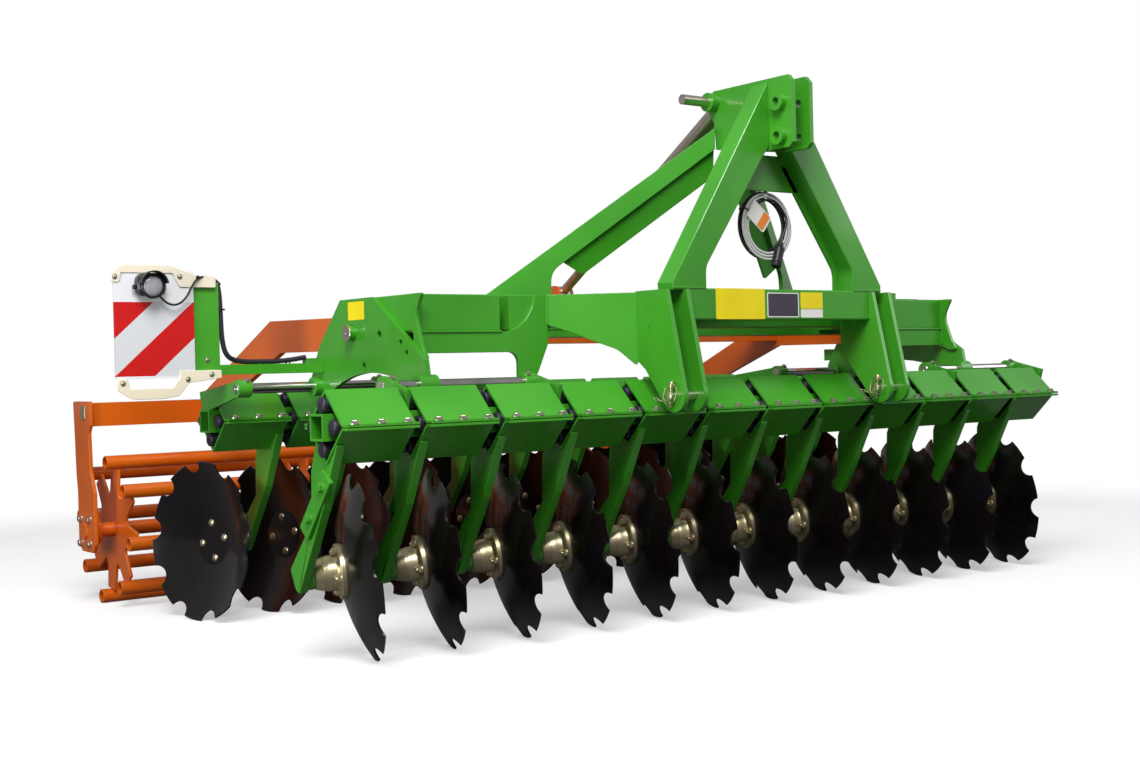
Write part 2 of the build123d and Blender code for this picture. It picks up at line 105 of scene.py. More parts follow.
# From the drawing's datum at the front clamp bolts to the frame, in millimetres
drawingDatum = np.array([46.0, -959.35, 0.0])


def inFrame(points):
    # drawing millimetres to frame metres
    return (np.asarray(points, float) + drawingDatum) / 1000


def inDrawing(place):
    # frame metres to drawing millimetres
    return np.asarray(place) * 1000 - drawingDatum


def gridFaces(rows, columns, wrapRows=False):
    # quads of a rows x columns grid of points whose columns wrap round
    r = np.arange(rows if wrapRows else rows - 1)
    a, b = (grid.ravel() for grid in np.meshgrid(r, np.arange(columns), indexing="ij"))
    nextRow, nextColumn = (a + 1) % rows, (b + 1) % columns
    quads = np.stack([a * columns + b, a * columns + nextColumn, nextRow * columns + nextColumn,
                      nextRow * columns + b], axis=1)
    return [tuple(quad) for quad in quads.tolist()]


def roundAngles(count):
    # equal steps of a full turn, the last one short of its start
    return np.linspace(0, 2 * np.pi, count, endpoint=False)


def turned(profile, sides=24, closed=False):
    # profile rows (height, radius, hexagon share) carried round Z: a hexagon row's radius falls from its
    # corners to its flats as cos 30 over the cosine of the angle from the nearest flat
    rows = np.array([(*row, 0.0)[:3] for row in profile], float)
    angle = np.arange(sides) * 2 * np.pi / sides
    flat = np.cos(np.pi / 6) / np.cos((angle + np.pi / 6) % (np.pi / 3) - np.pi / 6)
    radius = rows[:, 1:2] * (1 - rows[:, 2:3] + rows[:, 2:3] * flat[None])
    height = np.repeat(rows[:, :1], sides, 1)
    points = np.stack([radius * np.cos(angle), radius * np.sin(angle), height], axis=2)
    return points.reshape(-1, 3), gridFaces(len(rows), sides, closed)


def carried(path, radius, sides=10, reference=(0, 1, 0), closed=False):
    # circle of the given radius carried along a path, its start turned towards the reference direction;
    # an open path's ends close in one point each
    path = np.asarray(path, float)
    radius = np.broadcast_to(np.asarray(radius, float), len(path))
    if closed:
        tangent = np.roll(path, -1, 0) - np.roll(path, 1, 0)
    else:
        tangent = np.gradient(path, axis=0)
    tangent /= np.linalg.norm(tangent, axis=1, keepdims=True)
    first = np.asarray(reference, float) - tangent * (tangent @ np.asarray(reference, float))[:, None]
    first /= np.linalg.norm(first, axis=1, keepdims=True)
    second = np.cross(tangent, first)
    angle = np.arange(sides) * 2 * np.pi / sides
    rings = path[:, None] + radius[:, None, None] * (first[:, None] * np.cos(angle)[None, :, None]
                                                     + second[:, None] * np.sin(angle)[None, :, None])
    if not closed:
        ends = [np.repeat(point[None, None], sides, 1) for point in (path[0], path[-1])]
        rings = np.concatenate([ends[0], rings, ends[1]])
    return rings.reshape(-1, 3), gridFaces(len(rings), sides, closed)


def rectangle(x0, y0, x1, y1):
    return [(x0, y0), (x1, y0), (x1, y1), (x0, y1)]


def roundedOutline(width, height, radius, steps=6):
    # rectangle whose corners are quarter circles, as points of the XY plane
    angle = (np.arange(4)[:, None] * 90 + np.linspace(0, 90, steps)[None]).ravel() * np.pi / 180
    signs = np.repeat(np.array([[1, 1], [-1, 1], [-1, -1], [1, -1]], float), steps, axis=0)
    centre = signs * (np.array([width, height]) / 2 - radius)
    return centre + radius * np.stack([np.cos(angle), np.sin(angle)], axis=1)


def rounded(corners, step=15.0):
    # outline through the corners; one given with a radius becomes a tangent arc of that radius
    flat = np.array([corner[:2] for corner in corners], float)
    points = []
    for index, corner in enumerate(corners):
        place = flat[index]
        radius = corner[2] if len(corner) > 2 else 0.0
        back, on = flat[index - 1] - place, flat[(index + 1) % len(flat)] - place
        back, on = back / np.linalg.norm(back), on / np.linalg.norm(on)
        half = np.arccos(np.clip(back @ on, -1, 1)) / 2
        if radius <= 0 or half > 1.55:
            points.append(place[None])
            continue
        centre = place + (back + on) / np.linalg.norm(back + on) * radius / np.sin(half)
        first, last = (place + way * radius / np.tan(half) - centre for way in (back, on))
        sweep = np.arctan2(first[0] * last[1] - first[1] * last[0], first @ last)
        turn = np.linspace(0, sweep, max(3, int(abs(np.degrees(sweep)) / step) + 2))
        spin = np.stack([first[0] * np.cos(turn) - first[1] * np.sin(turn),
                         first[0] * np.sin(turn) + first[1] * np.cos(turn)], axis=1)
        points.append(centre + spin)
    return np.concatenate(points)


def drawnIn(outline, distance):
    # outline moved inwards: each corner along the sum of its two edges' inward normals
    before, after = np.roll(outline, 1, 0), np.roll(outline, -1, 0)
    area = np.sum(outline[:, 0] * after[:, 1] - after[:, 0] * outline[:, 1])

    def inward(edge):
        normal = np.stack([-edge[:, 1], edge[:, 0]], axis=1) * np.sign(area)
        return normal / np.linalg.norm(normal, axis=1, keepdims=True)
    first, second = inward(outline - before), inward(after - outline)
    share = 1 + np.sum(first * second, axis=1, keepdims=True)
    return outline + distance * (first + second) / np.maximum(share, 0.4)


def slab(outline, thickness, edge=0.4):
    # flat outline raised along Z with a small chamfer round both faces
    outline = np.asarray(outline, float)
    inner = drawnIn(outline, edge)
    levels = [(inner, 0.0), (outline, edge), (outline, thickness - edge), (inner, thickness)]
    rings = [np.column_stack([flat, np.full(len(flat), height)]) for flat, height in levels]
    count = len(outline)
    faces = gridFaces(4, count) + [tuple(range(count))[::-1], tuple(range(3 * count, 4 * count))]
    return np.concatenate(rings), faces


def plateX(corners, x, thickness, edge=1.0):
    # plate across X from its lower side at x; corners are (y, z) or (y, z, radius)
    return copies(slab(rounded(corners), thickness, edge), (x, 0, 0), (1, 0, 0))


def plateY(corners, y, thickness, edge=1.0):
    # plate across Y whose front face is at y; corners are (x, z) or (x, z, radius)
    return copies(slab(rounded(corners), thickness, edge), (0, y + thickness, 0), (0, -1, 0))


def plateZ(corners, z, thickness, edge=1.0):
    # plate across Z from its lower side at z; corners are (x, y) or (x, y, radius)
    return copies(slab(rounded(corners), thickness, edge), (0, 0, z), (0, 0, 1))


def roundBar(radius, first, last, sides=28, edge=1.0):
    # round bar between two points, its ends chamfered
    first, last = np.asarray(first, float), np.asarray(last, float)
    length = np.linalg.norm(last - first)
    profile = [(0, 0), (0, radius - edge), (edge, radius), (length - edge, radius), (length, radius - edge),
               (length, 0)]
    return copies(turned(profile, sides), first, last - first)


def weldBead(first, last, radius=3.5, pitch=5.0):
    # fillet bead along a line: a thin round bar whose radius swells with every ripple of the weld pool
    first, last = np.asarray(first, float), np.asarray(last, float)
    length = np.linalg.norm(last - first)
    share = np.linspace(0, 1, max(6, int(length / pitch * 3)))
    path = first + (last - first) * share[:, None]
    swell = radius * (1 + 0.1 * np.sin(share * length / pitch * 2 * np.pi))
    helper = (0, 0, 1) if abs((last - first)[2]) < 0.7 * length else (0, 1, 0)
    return carried(path, swell, 6, helper)


def turnTo(axis, level=(0, 0, 1)):
    # rotation whose third column is the axis and whose second column is nearest to the level direction
    axis = np.asarray(axis, float) / np.linalg.norm(axis)
    level = np.asarray(level, float)
    helper = level if abs(axis @ level) < 0.95 else np.array([0, 1.0, 0])
    side = np.cross(helper, axis)
    side /= np.linalg.norm(side)
    return np.stack([side, np.cross(axis, side), axis], axis=1)


def copies(surface, places, axes, level=(0, 0, 1)):
    # the surface at each place, its Z along that place's axis
    points, faces = surface
    places = np.atleast_2d(np.asarray(places, float))
    axes = np.broadcast_to(np.asarray(axes, float), places.shape)
    turns = np.stack([turnTo(axis, level) for axis in axes])
    moved = np.einsum("nij,pj->npi", turns, points) + places[:, None]
    count = len(points)
    every = [tuple(index + copy * count for index in face) for copy in range(len(places)) for face in faces]
    return moved.reshape(-1, 3), every


def joined(*surfaces):
    points, faces, start = [], [], 0
    for some, these in surfaces:
        points.append(some)
        faces += [tuple(index + start for index in face) for face in these]
        start += len(some)
    return np.concatenate(points), faces


def bothSides(surface):
    # the surface and its mirror image across X = 0
    points, faces = surface
    return joined(surface, (points * np.array([-1.0, 1, 1]), faces))


def repeatedX(surface, steps):
    # the surface moved along X by each step
    points, faces = surface
    return joined(*[(points + (step, 0, 0), faces) for step in steps])


def addMesh(name, surface, material, body="frame", sharp=35.0, metres=False):
    # a piece from a surface in drawing millimetres; poles are merged and faces turned outwards
    points, faces = surface
    points = points if metres else inFrame(points)
    mesh = bpy.data.meshes.new(name)
    mesh.from_pydata(points.tolist(), [], faces)
    work = bmesh.new()
    work.from_mesh(mesh)
    bmesh.ops.remove_doubles(work, verts=work.verts, dist=2e-6)
    bmesh.ops.recalc_face_normals(work, faces=work.faces)
    work.to_mesh(mesh)
    work.free()
    mesh.polygons.foreach_set("use_smooth", [True] * len(mesh.polygons))
    mesh.set_sharp_from_angle(angle=np.radians(sharp))
    mesh.materials.append(material)
    mesh.update()
    made = bpy.data.objects.new(name, mesh)
    bpy.context.scene.collection.objects.link(made)
    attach(made, body)
    return made


def nurbsCurve(name, route):
    # NURBS line of order 3 whose control points are the route
    curve = bpy.data.curves.new(name, "CURVE")
    curve.dimensions = "3D"
    curve.resolution_u = 8
    spline = curve.splines.new("NURBS")
    spline.points.add(len(route) - 1)
    spline.points.foreach_set("co", np.column_stack([route, np.ones(len(route))]).ravel())
    spline.order_u = 3
    spline.use_endpoint_u = True
    return curve


def meshOf(curve):
    # the curve as a mesh, and that mesh's points
    item = bpy.data.objects.new(curve.name, curve)
    mesh = bpy.data.meshes.new_from_object(item)
    bpy.data.objects.remove(item)
    points = np.zeros(len(mesh.vertices) * 3)
    mesh.vertices.foreach_get("co", points)
    return mesh, points.reshape(-1, 3)


def distances(points):
    # each point's distance from the first, summed along the line
    return np.concatenate([[0], np.cumsum(np.linalg.norm(np.diff(points, axis=0), axis=1))])


def smoothPath(route, spacing=None):
    # points of the NURBS line along the route, set at even distances where a spacing is given
    line, points = meshOf(nurbsCurve("routeLine", route))
    bpy.data.meshes.remove(line)
    if spacing:
        along = distances(points)
        even = np.linspace(0, along[-1], max(8, int(along[-1] / spacing)))
        points = np.stack([np.interp(even, along, points[:, axis]) for axis in range(3)], axis=1)
    return points


# Materials

def addSurface(tree, colour, wear, roughness, height, relief, softEdge=None, **sockets):
    # ends a material: its roughness runs between two values with wear, its relief (strength, millimetres)
    # follows height over edges softened by so many millimetres; other sockets are named with _ for a space
    bump = {"Strength": relief[0], "Distance": relief[1] / 1000, "Height": height}
    if softEdge:
        bump["Normal"] = addNode(tree, "Bevel", {"Radius": softEdge / 1000}, samples=4).outputs["Normal"]
    spread = addNode(tree, "MapRange", {"Value": wear, "To Min": roughness[0], "To Max": roughness[1]})
    shader = addNode(tree, "BsdfPrincipled", {
        "Base Color": colour, "Roughness": spread.outputs["Result"],
        "Normal": addNode(tree, "Bump", bump).outputs["Normal"],
        **{socket.replace("_", " "): value for socket, value in sockets.items()}})
    addNode(tree, "OutputMaterial", {"Surface": shader.outputs["BSDF"]})


def makeFinish(name, stops, roughness, noises, relief, stretch=None, **sockets):
    # colour, roughness and relief each follow a noise on the object's own coordinates; noises holds the
    # grain in millimetres and the detail of the three
    material, tree = startMaterial(name)
    place = addNode(tree, "TexCoord").outputs["Object"]
    drawn = place
    if stretch:  # drawn lines run along one axis in roughness and relief
        drawn = addNode(tree, "Mapping", {"Vector": place, "Scale": stretch}).outputs["Vector"]
    fields = []
    for vector, (grain, detail) in zip((place, drawn, drawn), noises):
        inputs = {"Vector": vector, "Scale": 1000 / grain, "Detail": detail}
        fields.append(addNode(tree, "TexNoise", inputs).outputs["Fac"])
    tone, wear, grit = fields
    colour = addNode(tree, "ValToRGB", {"Fac": tone}, stops).outputs["Color"]
    addSurface(tree, colour, wear, roughness, grit, relief, **sockets)
    return material


# Two-pack enamel sprayed on shot-blasted steel: saturated and glossy, slightly uneven cover, orange peel
# drawn at 4 mm so that it shows, and edges of 2 mm that catch the light
enamelNoises = [(434.8, 3.0), (111.1, 4.0), (4.0, 1.0)]
enamelCoat = dict(softEdge=2.0, IOR=1.5, Coat_Weight=0.4, Coat_Roughness=0.08)
greenEnamel = makeFinish("greenEnamel", [(0.3, "#388F1D"), (0.5, "#3F9C22"), (0.72, "#4AA62B")],
                         (0.26, 0.38), enamelNoises, (0.05, 0.4), **enamelCoat)
orangeEnamel = makeFinish("orangeEnamel", [(0.3, "#C55508"), (0.5, "#D6600C"), (0.72, "#E06C14")],
                          (0.26, 0.38), enamelNoises, (0.05, 0.4), **enamelCoat)
# Powder coat baked on sheet steel: the same skin, a little duller
creamEnamel = makeFinish("creamPowderCoat", [(0.3, "#E8D9BE"), (0.5, "#F0E3CB"), (0.72, "#F5EBD8")],
                         (0.34, 0.48), enamelNoises, (0.05, 0.4), **enamelCoat)

# Hardened boron steel dipped in thin black lacquer: near black, mirror-like, with faint heat patches
discSteel = makeFinish("lacqueredBoronSteel", [(0.3, "#0C0A0A"), (0.5, "#15100F"), (0.7, "#131118")],
                       (0.16, 0.26), [(142.86, 4.0), (142.86, 4.0), (38.46, 2.0)], (0.05, 1.0), IOR=1.38,
                       Coat_Weight=0.22, Coat_Roughness=0.06)

# Zinc plated on turned steel, passivated yellow or clear: satin, with colour bands and 3 mm turning marks
zincNoises = [(71.43, 3.0), (3.0, 4.0), (3.0, 4.0)]
yellowZinc = makeFinish("yellowZinc", [(0.3, "#C4B68C"), (0.5, "#E2D6B2"), (0.7, "#DEC8AC")], (0.3, 0.44),
                        zincNoises, (0.06, 0.3), Metallic=1.0)
clearZinc = makeFinish("clearZinc", [(0.3, "#C4BCB0"), (0.5, "#DAD2C6"), (0.7, "#D2BFAC")], (0.24, 0.4),
                       zincNoises, (0.06, 0.3), Metallic=1.0)
# Drawn bar steel: bright, with 2 mm lines stretched along X by the die
brightBar = makeFinish("drawnBarSteel", [(0.3, "#BDB7B8"), (0.5, "#D0CBCB"), (0.7, "#C6BFC1")], (0.14, 0.26),
                       [(71.43, 3.0), (2.0, 4.0), (2.0, 4.0)], (0.06, 0.3), stretch=(0.03, 1, 1),
                       Metallic=1.0)

# Moulded rubber, moulded plastic, vinyl film and a printed plate: even colour, fine matt grain.
# Each has its colours, roughness, grain in millimetres and relief
mouldings = {
    "blackRubber": ([(0.3, "#1B1724"), (0.5, "#241F2F"), (0.7, "#2B2636")], (0.36, 0.52), 2.0, 0.15),
    "blackPolyamide": ([(0.3, "#141417"), (0.7, "#1E1E24")], (0.3, 0.46), 1.2, 0.12),
    "yellowVinylFilm": ([(0.3, "#F2DC00"), (0.7, "#FAE60A")], (0.3, 0.4), 1.5, 0.04),
    "whiteVinylFilm": ([(0.3, "#EDEBE8"), (0.7, "#F6F4F1")], (0.3, 0.4), 1.5, 0.04),
    "printedAluminiumPlate": ([(0.3, "#3A3340"), (0.7, "#453D4C")], (0.28, 0.4), 1.5, 0.04),
    "orangeVinylFilm": ([(0.3, "#F08018"), (0.7, "#F88C24")], (0.3, 0.42), 1.5, 0.04)}
rubber, blackPlastic, yellowVinyl, whiteVinyl, darkVinyl, orangeVinyl = (
    makeFinish(name, stops, roughness, [(90.91, 3.0), (grain, 2.0), (grain, 2.0)], (depth, 0.3), IOR=1.5)
    for name, (stops, roughness, grain, depth) in mouldings.items())

# Drawing millimetres of the striped field; shift of the bands in periods; cells of the reflective sheet
signBoard = dict(left=-1792.0, width=240.0, low=786.0, high=1000.0, shift=0.015, cell=3.0)


def makeStripedSheeting():
    # retroreflective sheeting on an enamelled plate: diagonal red and silver-white bands below a plain white
    # field, a honeycomb of small cells that shows as a faint net
    material, tree = startMaterial("retroreflectiveSheeting")
    place = addNode(tree, "TexCoord").outputs["Object"]
    parts = addNode(tree, "SeparateXYZ", {0: place})
    left, _, low = inFrame([signBoard["left"], 0, signBoard["low"]])
    right, _, high = inFrame([signBoard["left"] + signBoard["width"], 0, signBoard["high"]])
    across = addNode(tree, "MapRange", {"Value": parts.outputs["X"], "From Min": left, "From Max": right},
                     clamp=False)
    down = addNode(tree, "MapRange", {"Value": parts.outputs["Z"], "From Min": high, "From Max": low},
                   clamp=False).outputs["Result"]
    course = addNode(tree, "Math", {0: across.outputs["Result"], 1: down}, operation="ADD")
    course = addNode(tree, "Math", {0: course.outputs[0], 1: signBoard["shift"]}, operation="ADD")
    band = addNode(tree, "Math", {0: course.outputs[0]}, operation="FRACT")
    red = addNode(tree, "Math", {0: band.outputs[0], 1: 0.5}, operation="LESS_THAN")
    within = addNode(tree, "Math", {0: down, 1: 0.5, 2: 0.5}, operation="COMPARE").outputs[0]
    red = addNode(tree, "Math", {0: red.outputs[0], 1: within}, operation="MULTIPLY")
    comb = {"Vector": place, "Scale": 1000 / signBoard["cell"], "Randomness": 0.15}
    cells = addNode(tree, "TexVoronoi", comb, feature="DISTANCE_TO_EDGE").outputs["Distance"]
    net = addNode(tree, "MapRange", {"Value": cells, "From Max": 0.12, "To Min": 0.93, "To Max": 1.0})
    silver = addNode(tree, "ValToRGB", {"Fac": within}, [(0.4, "#EDEDF2"), (0.6, "#D9DADF")], "CONSTANT")
    colour = addNode(tree, "Mix", {0: red.outputs[0], 6: silver.outputs["Color"], 7: linear("#CC0A0E")},
                     data_type="RGBA")
    colour = addNode(tree, "Mix", {0: 1.0, 6: colour.outputs[2], 7: net.outputs["Result"]}, data_type="RGBA",
                     blend_type="MULTIPLY")
    addSurface(tree, colour.outputs[2], cells, (0.3, 0.42), cells, (0.08, 0.3), IOR=1.5, Coat_Weight=0.3,
               Coat_Roughness=0.1)
    return material


def makeLensPlastic():
    # clear moulded polycarbonate: light, smooth, with fine prism ribs on its inner face, 3.5 mm apart: a wave's
    # bands lie 0.314 m over its scale apart
    material, tree = startMaterial("clearPolycarbonate")
    place = addNode(tree, "TexCoord").outputs["Object"]
    ribs = addNode(tree, "TexWave", {"Vector": place, "Scale": 90.0, "Distortion": 0.6}).outputs["Fac"]
    colour = addNode(tree, "ValToRGB", {"Fac": ribs}, [(0.2, "#8F8D98"), (0.8, "#D8D6DE")])
    addSurface(tree, colour.outputs["Color"], ribs, (0.04, 0.1), ribs, (0.25, 0.4), IOR=1.58,
               Transmission_Weight=0.35)
    return material


def makeCableSheath(paleFrom, paleTo):
    # extruded PVC sheath: black, pale grey and black again along the cable, faintly dusty
    material, tree = startMaterial("extrudedCableSheath")
    along = addNode(tree, "Attribute", attribute_name="along").outputs["Fac"]
    place = addNode(tree, "TexCoord").outputs["Object"]
    colour = addNode(tree, "ValToRGB", {"Fac": along}, [(0.0, "#17161A"), (paleFrom, "#E6E4E4"),
                                                        (paleTo, "#17161A")], "CONSTANT")
    marks = addNode(tree, "TexNoise", {"Vector": place, "Scale": 1000 / 16.67, "Detail": 3.0}).outputs["Fac"]
    dust = addNode(tree, "MapRange", {"Value": marks, "To Min": 0.88, "To Max": 1.0})
    colour = addNode(tree, "Mix", {0: 1.0, 6: colour.outputs["Color"], 7: dust.outputs["Result"]},
                     data_type="RGBA", blend_type="MULTIPLY")
    addSurface(tree, colour.outputs[2], marks, (0.36, 0.5), marks, (0.06, 0.3), IOR=1.53)
    return material


stripedSheeting = makeStripedSheeting()
lensPlastic = makeLensPlastic()
print("materials made")


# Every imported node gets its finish: the last of these names that is part of its own, and otherwise green

finishes = {"rubber_cords": rubber, "slide_rods": brightBar, "roller": orangeEnamel, "strut": clearZinc,
            "hitch_pins": clearZinc, "board_lamp": blackPlastic, "warning_board": stripedSheeting}
for name, item in frame["nodes"].items():
    finish = greenEnamel
    if name[-2:].isdigit() and "_disc_" in name:
        finish = discSteel
    for part, material in finishes.items():
        if part in name:
            finish = material
    item.data.materials.clear()
    item.data.materials.append(finish)
print("nodes dressed")


# Camera first, because the cable is measured against its view

# The photograph's camera, fitted to the machine: place in metres, angles in degrees, lens and sensor in mm
view = dict(place=(-3.344, -4.3474, 0.779), yaw=37.30, down=0.44, roll=-1.41, lens=48.06, sensor=36.0)


def makeCamera():
    yaw, down, roll = np.radians([view["yaw"], view["down"], view["roll"]])
    forward = np.array([np.sin(yaw) * np.cos(down), np.cos(yaw) * np.cos(down), -np.sin(down)])
    level = np.array([np.cos(yaw), -np.sin(yaw), 0])
    above = np.cross(level, forward)
    right = level * np.cos(roll) + above * np.sin(roll)
    up = above * np.cos(roll) - level * np.sin(roll)
    camera = bpy.data.cameras.new("camera")
    camera.lens = view["lens"]
    camera.sensor_width = view["sensor"]
    item = bpy.data.objects.new("camera", camera)
    bpy.context.scene.collection.objects.link(item)
    turn = Matrix(np.stack([right, up, -forward], axis=1).tolist())
    item.matrix_world = Matrix.Translation(view["place"]) @ turn.to_4x4()
    bpy.context.scene.camera = item


makeCamera()

# Cable of the lighting set: six loose turns hung behind the mast's web, then down to its plug

cable = dict(centre=(15.0, 0.0, 1212.0), radius=4.0, turns=6.12, step=24.0, paleFrom=0.5, paleTo=0.93,
             plug=(51, 15.5, 1160), plugWay=(-10, 0, -30), strapSlope=152.0, strapRadius=2.2)
# distance in turns, radius and depth of the line: in along the middle, out behind, and in again in front
cableCourse = np.array([
    (0.0, 111.9, 49.3), (0.035, 99, 49.5), (0.08, 90, 50), (0.15, 83, 50), (0.3, 80, 52), (0.45, 80.5, 60),
    (2.9, 104, 60), (3.15, 106, 50), (3.32, 107, 40.5), (5.75, 84, 40), (5.95, 80, 32), (6.12, 79, 24)])
cableTail = [(80, 19, 1240), (77, 15, 1222), (70, 14, 1203), (61, 15.5, 1184), cable["plug"]]
tagSheet = dict(middle=(-28.0, 31.0, 1238.0), lean=-38.0, outline=(88, 62, 8), thickness=1.2,
                band=(30, 56, 2), bandThickness=0.6, bandAside=22.0)


def cableRoute():
    # points round the coil every step of the angle, then down the tail to the plug
    steps = np.arange(0, cable["turns"] * 360, cable["step"])
    steps = np.concatenate([[0, 10, 20], steps[2:]])
    course, radius, depth = cableCourse.T
    along = steps / 360
    # control points lie outside the curve by one over the cosine of half a step, save at its start
    outside = np.where(steps > 40, np.cos(np.radians(cable["step"] / 2)), 1.0)
    reach = np.interp(along, course, radius) / outside
    angle = np.radians(90 - steps)
    x, _, z = cable["centre"]
    coil = np.stack([x + reach * np.cos(angle), np.interp(along, course, depth), z + reach * np.sin(angle)],
                    axis=1)
    return np.concatenate([coil, cableTail])


def makeCable():
    route = inFrame(cableRoute())
    path = smoothPath(route)
    along = distances(path)
    curve = nurbsCurve("lightingCable", route)
    curve.bevel_depth = cable["radius"] / 1000
    curve.bevel_resolution = 3
    curve.use_fill_caps = True
    mesh, points = meshOf(curve)
    share = np.repeat(along / along[-1], len(points) // len(path))
    share = np.concatenate([share, np.ones(len(points) - len(share))])
    mesh.attributes.new("along", "FLOAT", "POINT").data.foreach_set("value", share)
    mesh.polygons.foreach_set("use_smooth", [True] * len(mesh.polygons))
    mesh.materials.append(makeCableSheath(cable["paleFrom"], cable["paleTo"]))
    made = bpy.data.objects.new("lightingCable", mesh)
    bpy.context.scene.collection.objects.link(made)
    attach(made, "frame")

    # plug: bell for the cable, ribbed grip, collar round the contacts
    ribs = [(22 + 6 * index + dz, 16.4 - 1.2 * (dz in (2.0, 3.4)))
            for index in range(7) for dz in (0, 1.4, 2.0, 3.4)]
    profile = [(0, 0), (0, 6.4), (3, 8.0), (12, 9.0), (18, 13.4), (21, 16.2), *ribs, (66, 16.4), (68, 15.0),
               (70, 15.0), (71, 16.4), (81, 16.4), (82.5, 15.6), (82.5, 12.5), (76, 12.0), (76, 0)]
    plug = addMesh("lightingPlug", copies(turned(profile, 32), cable["plug"], cable["plugWay"]), blackPlastic)
    print("cable length", round(float(along[-1]), 3))

    # strap round the turns: an ellipse on a slope through the coil's middle
    angle = roundAngles(40)
    reach, depth = 95 + 20 * np.cos(angle), 50 + 17.5 * np.sin(angle)
    slope = np.radians(cable["strapSlope"])
    x, _, z = cable["centre"]
    strap = np.stack([x + reach * np.cos(slope), depth, z + reach * np.sin(slope)], axis=1)
    strap = carried(strap, cable["strapRadius"], 8, (-np.sin(slope), 0, np.cos(slope)), closed=True)
    addMesh("cableStrap", strap, blackPlastic)

    # blank two-coloured tag behind the turns
    t = named(tagSheet)
    lean = np.radians(t.lean)
    level = (-np.sin(lean), 0, np.cos(lean))
    tag = copies(slab(roundedOutline(*t.outline), t.thickness), t.middle, (0, -1, 0), level)
    addMesh("blankTag", tag, whiteVinyl)
    aside = t.bandAside * np.array([np.cos(lean), 0, np.sin(lean)])
    band = slab(roundedOutline(*t.band), t.bandThickness, 0.2)
    band = copies(band, np.array(t.middle) - (0, t.thickness, 0) + aside, (0, -1, 0), level)
    addMesh("blankTagBand", band, orangeVinyl)


makeCable()
print("cable made")


# Fasteners

def boltHead(size):
    # washer on the plane Z = 0 with a chamfered hexagon head
    thick, corner = 0.2 * size, 0.9 * size
    high = thick + 0.62 * size
    washer = turned([(0, 0), (0, 1.12 * size), (thick, 1.12 * size), (thick, 0)], 12)
    head = turned([(thick, 0), (thick, corner, 1), (high - 0.08 * size, corner, 1), (high, 0.78 * size),
                   (high, 0)], 12)
    return joined(washer, head)


clampBolt = dict(size=12.5, along=(-78.0, 0.0, 78.0), reach=101.0, above=8.0)
rowSizes = dict(front=dict(y=97.0, first=-1420.0), rear=dict(y=1035.0, first=-1310.0))
clamps = dict(pitch=250.0, count=12)
beamHeight = 643.0
cordEnd = dict(offset=56.8, half=116.5, radius=21.4, bulge=6.4)


def clampMiddles(row):
    return rowSizes[row]["first"] + clamps["pitch"] * np.arange(clamps["count"])


def makeRowFasteners(row):
    y, middles = rowSizes[row]["y"], clampMiddles(row)
    along = (middles[:, None] + clampBolt["along"]).ravel()
    x, side = (grid.ravel() for grid in np.meshgrid(along, (-1, 1)))
    z = np.full(len(x), beamHeight + clampBolt["above"])
    places = np.stack([x, y + side * clampBolt["reach"], z], axis=1)
    bolts = copies(boltHead(clampBolt["size"]), places, (0, 0, 1))
    addMesh(row + "ClampBolts", bolts, clearZinc, row + "_row")

    # rubber cords swell out of the clamps: shallow domes at both ends
    radius, bulge = cordEnd["radius"], cordEnd["bulge"]
    dome = turned([(-0.4, 0), (-0.4, radius), (0.28 * bulge, 0.985 * radius), (0.6 * bulge, 0.87 * radius),
                   (0.85 * bulge, 0.6 * radius), (bulge, 0.25 * radius), (bulge, 0)], 20)
    around = cordEnd["offset"] * np.array([(0, 1), (1, 0), (0, -1), (-1, 0)])
    ends = np.array([(middle + way * cordEnd["half"], y + dy, beamHeight + dz)
                     for middle in middles for way in (-1, 1) for dy, dz in around])
    axes = np.array([(way, 0, 0) for middle in middles for way in (-1, 1) for _ in around])
    addMesh(row + "CordEnds", copies(dome, ends, axes), rubber, row + "_row", 60)


for row in rowSizes:
    makeRowFasteners(row)
print("clamp bolts and cord ends made")

# Hub: (place along the axle, radius) round its shell, and the bolts that hold the disc on its flange
hubShell = [(-0.3, 75.6), (-11.4, 75.6), (-12.6, 74.4), (-12.6, 57), (-14, 52.4), (-17.5, 49.4), (-22, 48.4),
            (-36, 48.2), (-41.5, 48), (-44, 47.2), (-49, 46.2), (-51, 45.8), (-51.6, 44.6), (-53, 44.4),
            (-54, 45.1), (-72, 39.6), (-76.4, 38), (-76.9, 36.8), (-76.9, 26), (-76.2, 22.5), (-0.3, 22.5)]
discBolt = dict(radius=57.0, count=4, phase=12.0, size=12.0)


def makeHub(name, joint):
    # zinc-plated hub over the bored one, with its flange, cup heads in the dish and nuts behind the flange
    cup = turned([(4.9, 0), (4.9, 13), (6.6, 12.8), (9.2, 10.6), (10.9, 6.8), (11.6, 3), (11.6, 0)], 18)
    size = discBolt["size"]
    nut = turned([(-12.4, 0), (-12.4, 1.15 * size), (-14.8, 1.15 * size), (-14.8, 0.92 * size, 1),
                  (-23.5, 0.92 * size, 1), (-24.5, 0.78 * size), (-24.5, 0.48 * size), (-28.5, 0.46 * size),
                  (-29, 0.36 * size), (-29, 0)], 12)
    angle = np.radians(discBolt["phase"] + np.arange(discBolt["count"]) * 360 / discBolt["count"])
    places = np.stack([np.cos(angle), np.sin(angle), 0 * angle], axis=1) * discBolt["radius"]
    bolts = copies(joined(cup, nut), places, (0, 0, 1), (0, 1, 0))
    points, faces = joined(turned(hubShell, 48, closed=True), bolts)
    points = points @ turnTo(joint["axis"]).T / 1000 + np.asarray(joint["pos_m"])
    addMesh(name, (points, faces), yellowZinc, joint["child"], metres=True)


for name, joint in joints.items():
    if name.endswith("_spin") and "disc" in name:
        makeHub(joint["child"].replace("_disc_", "Hub"), joint)
print("hubs made")

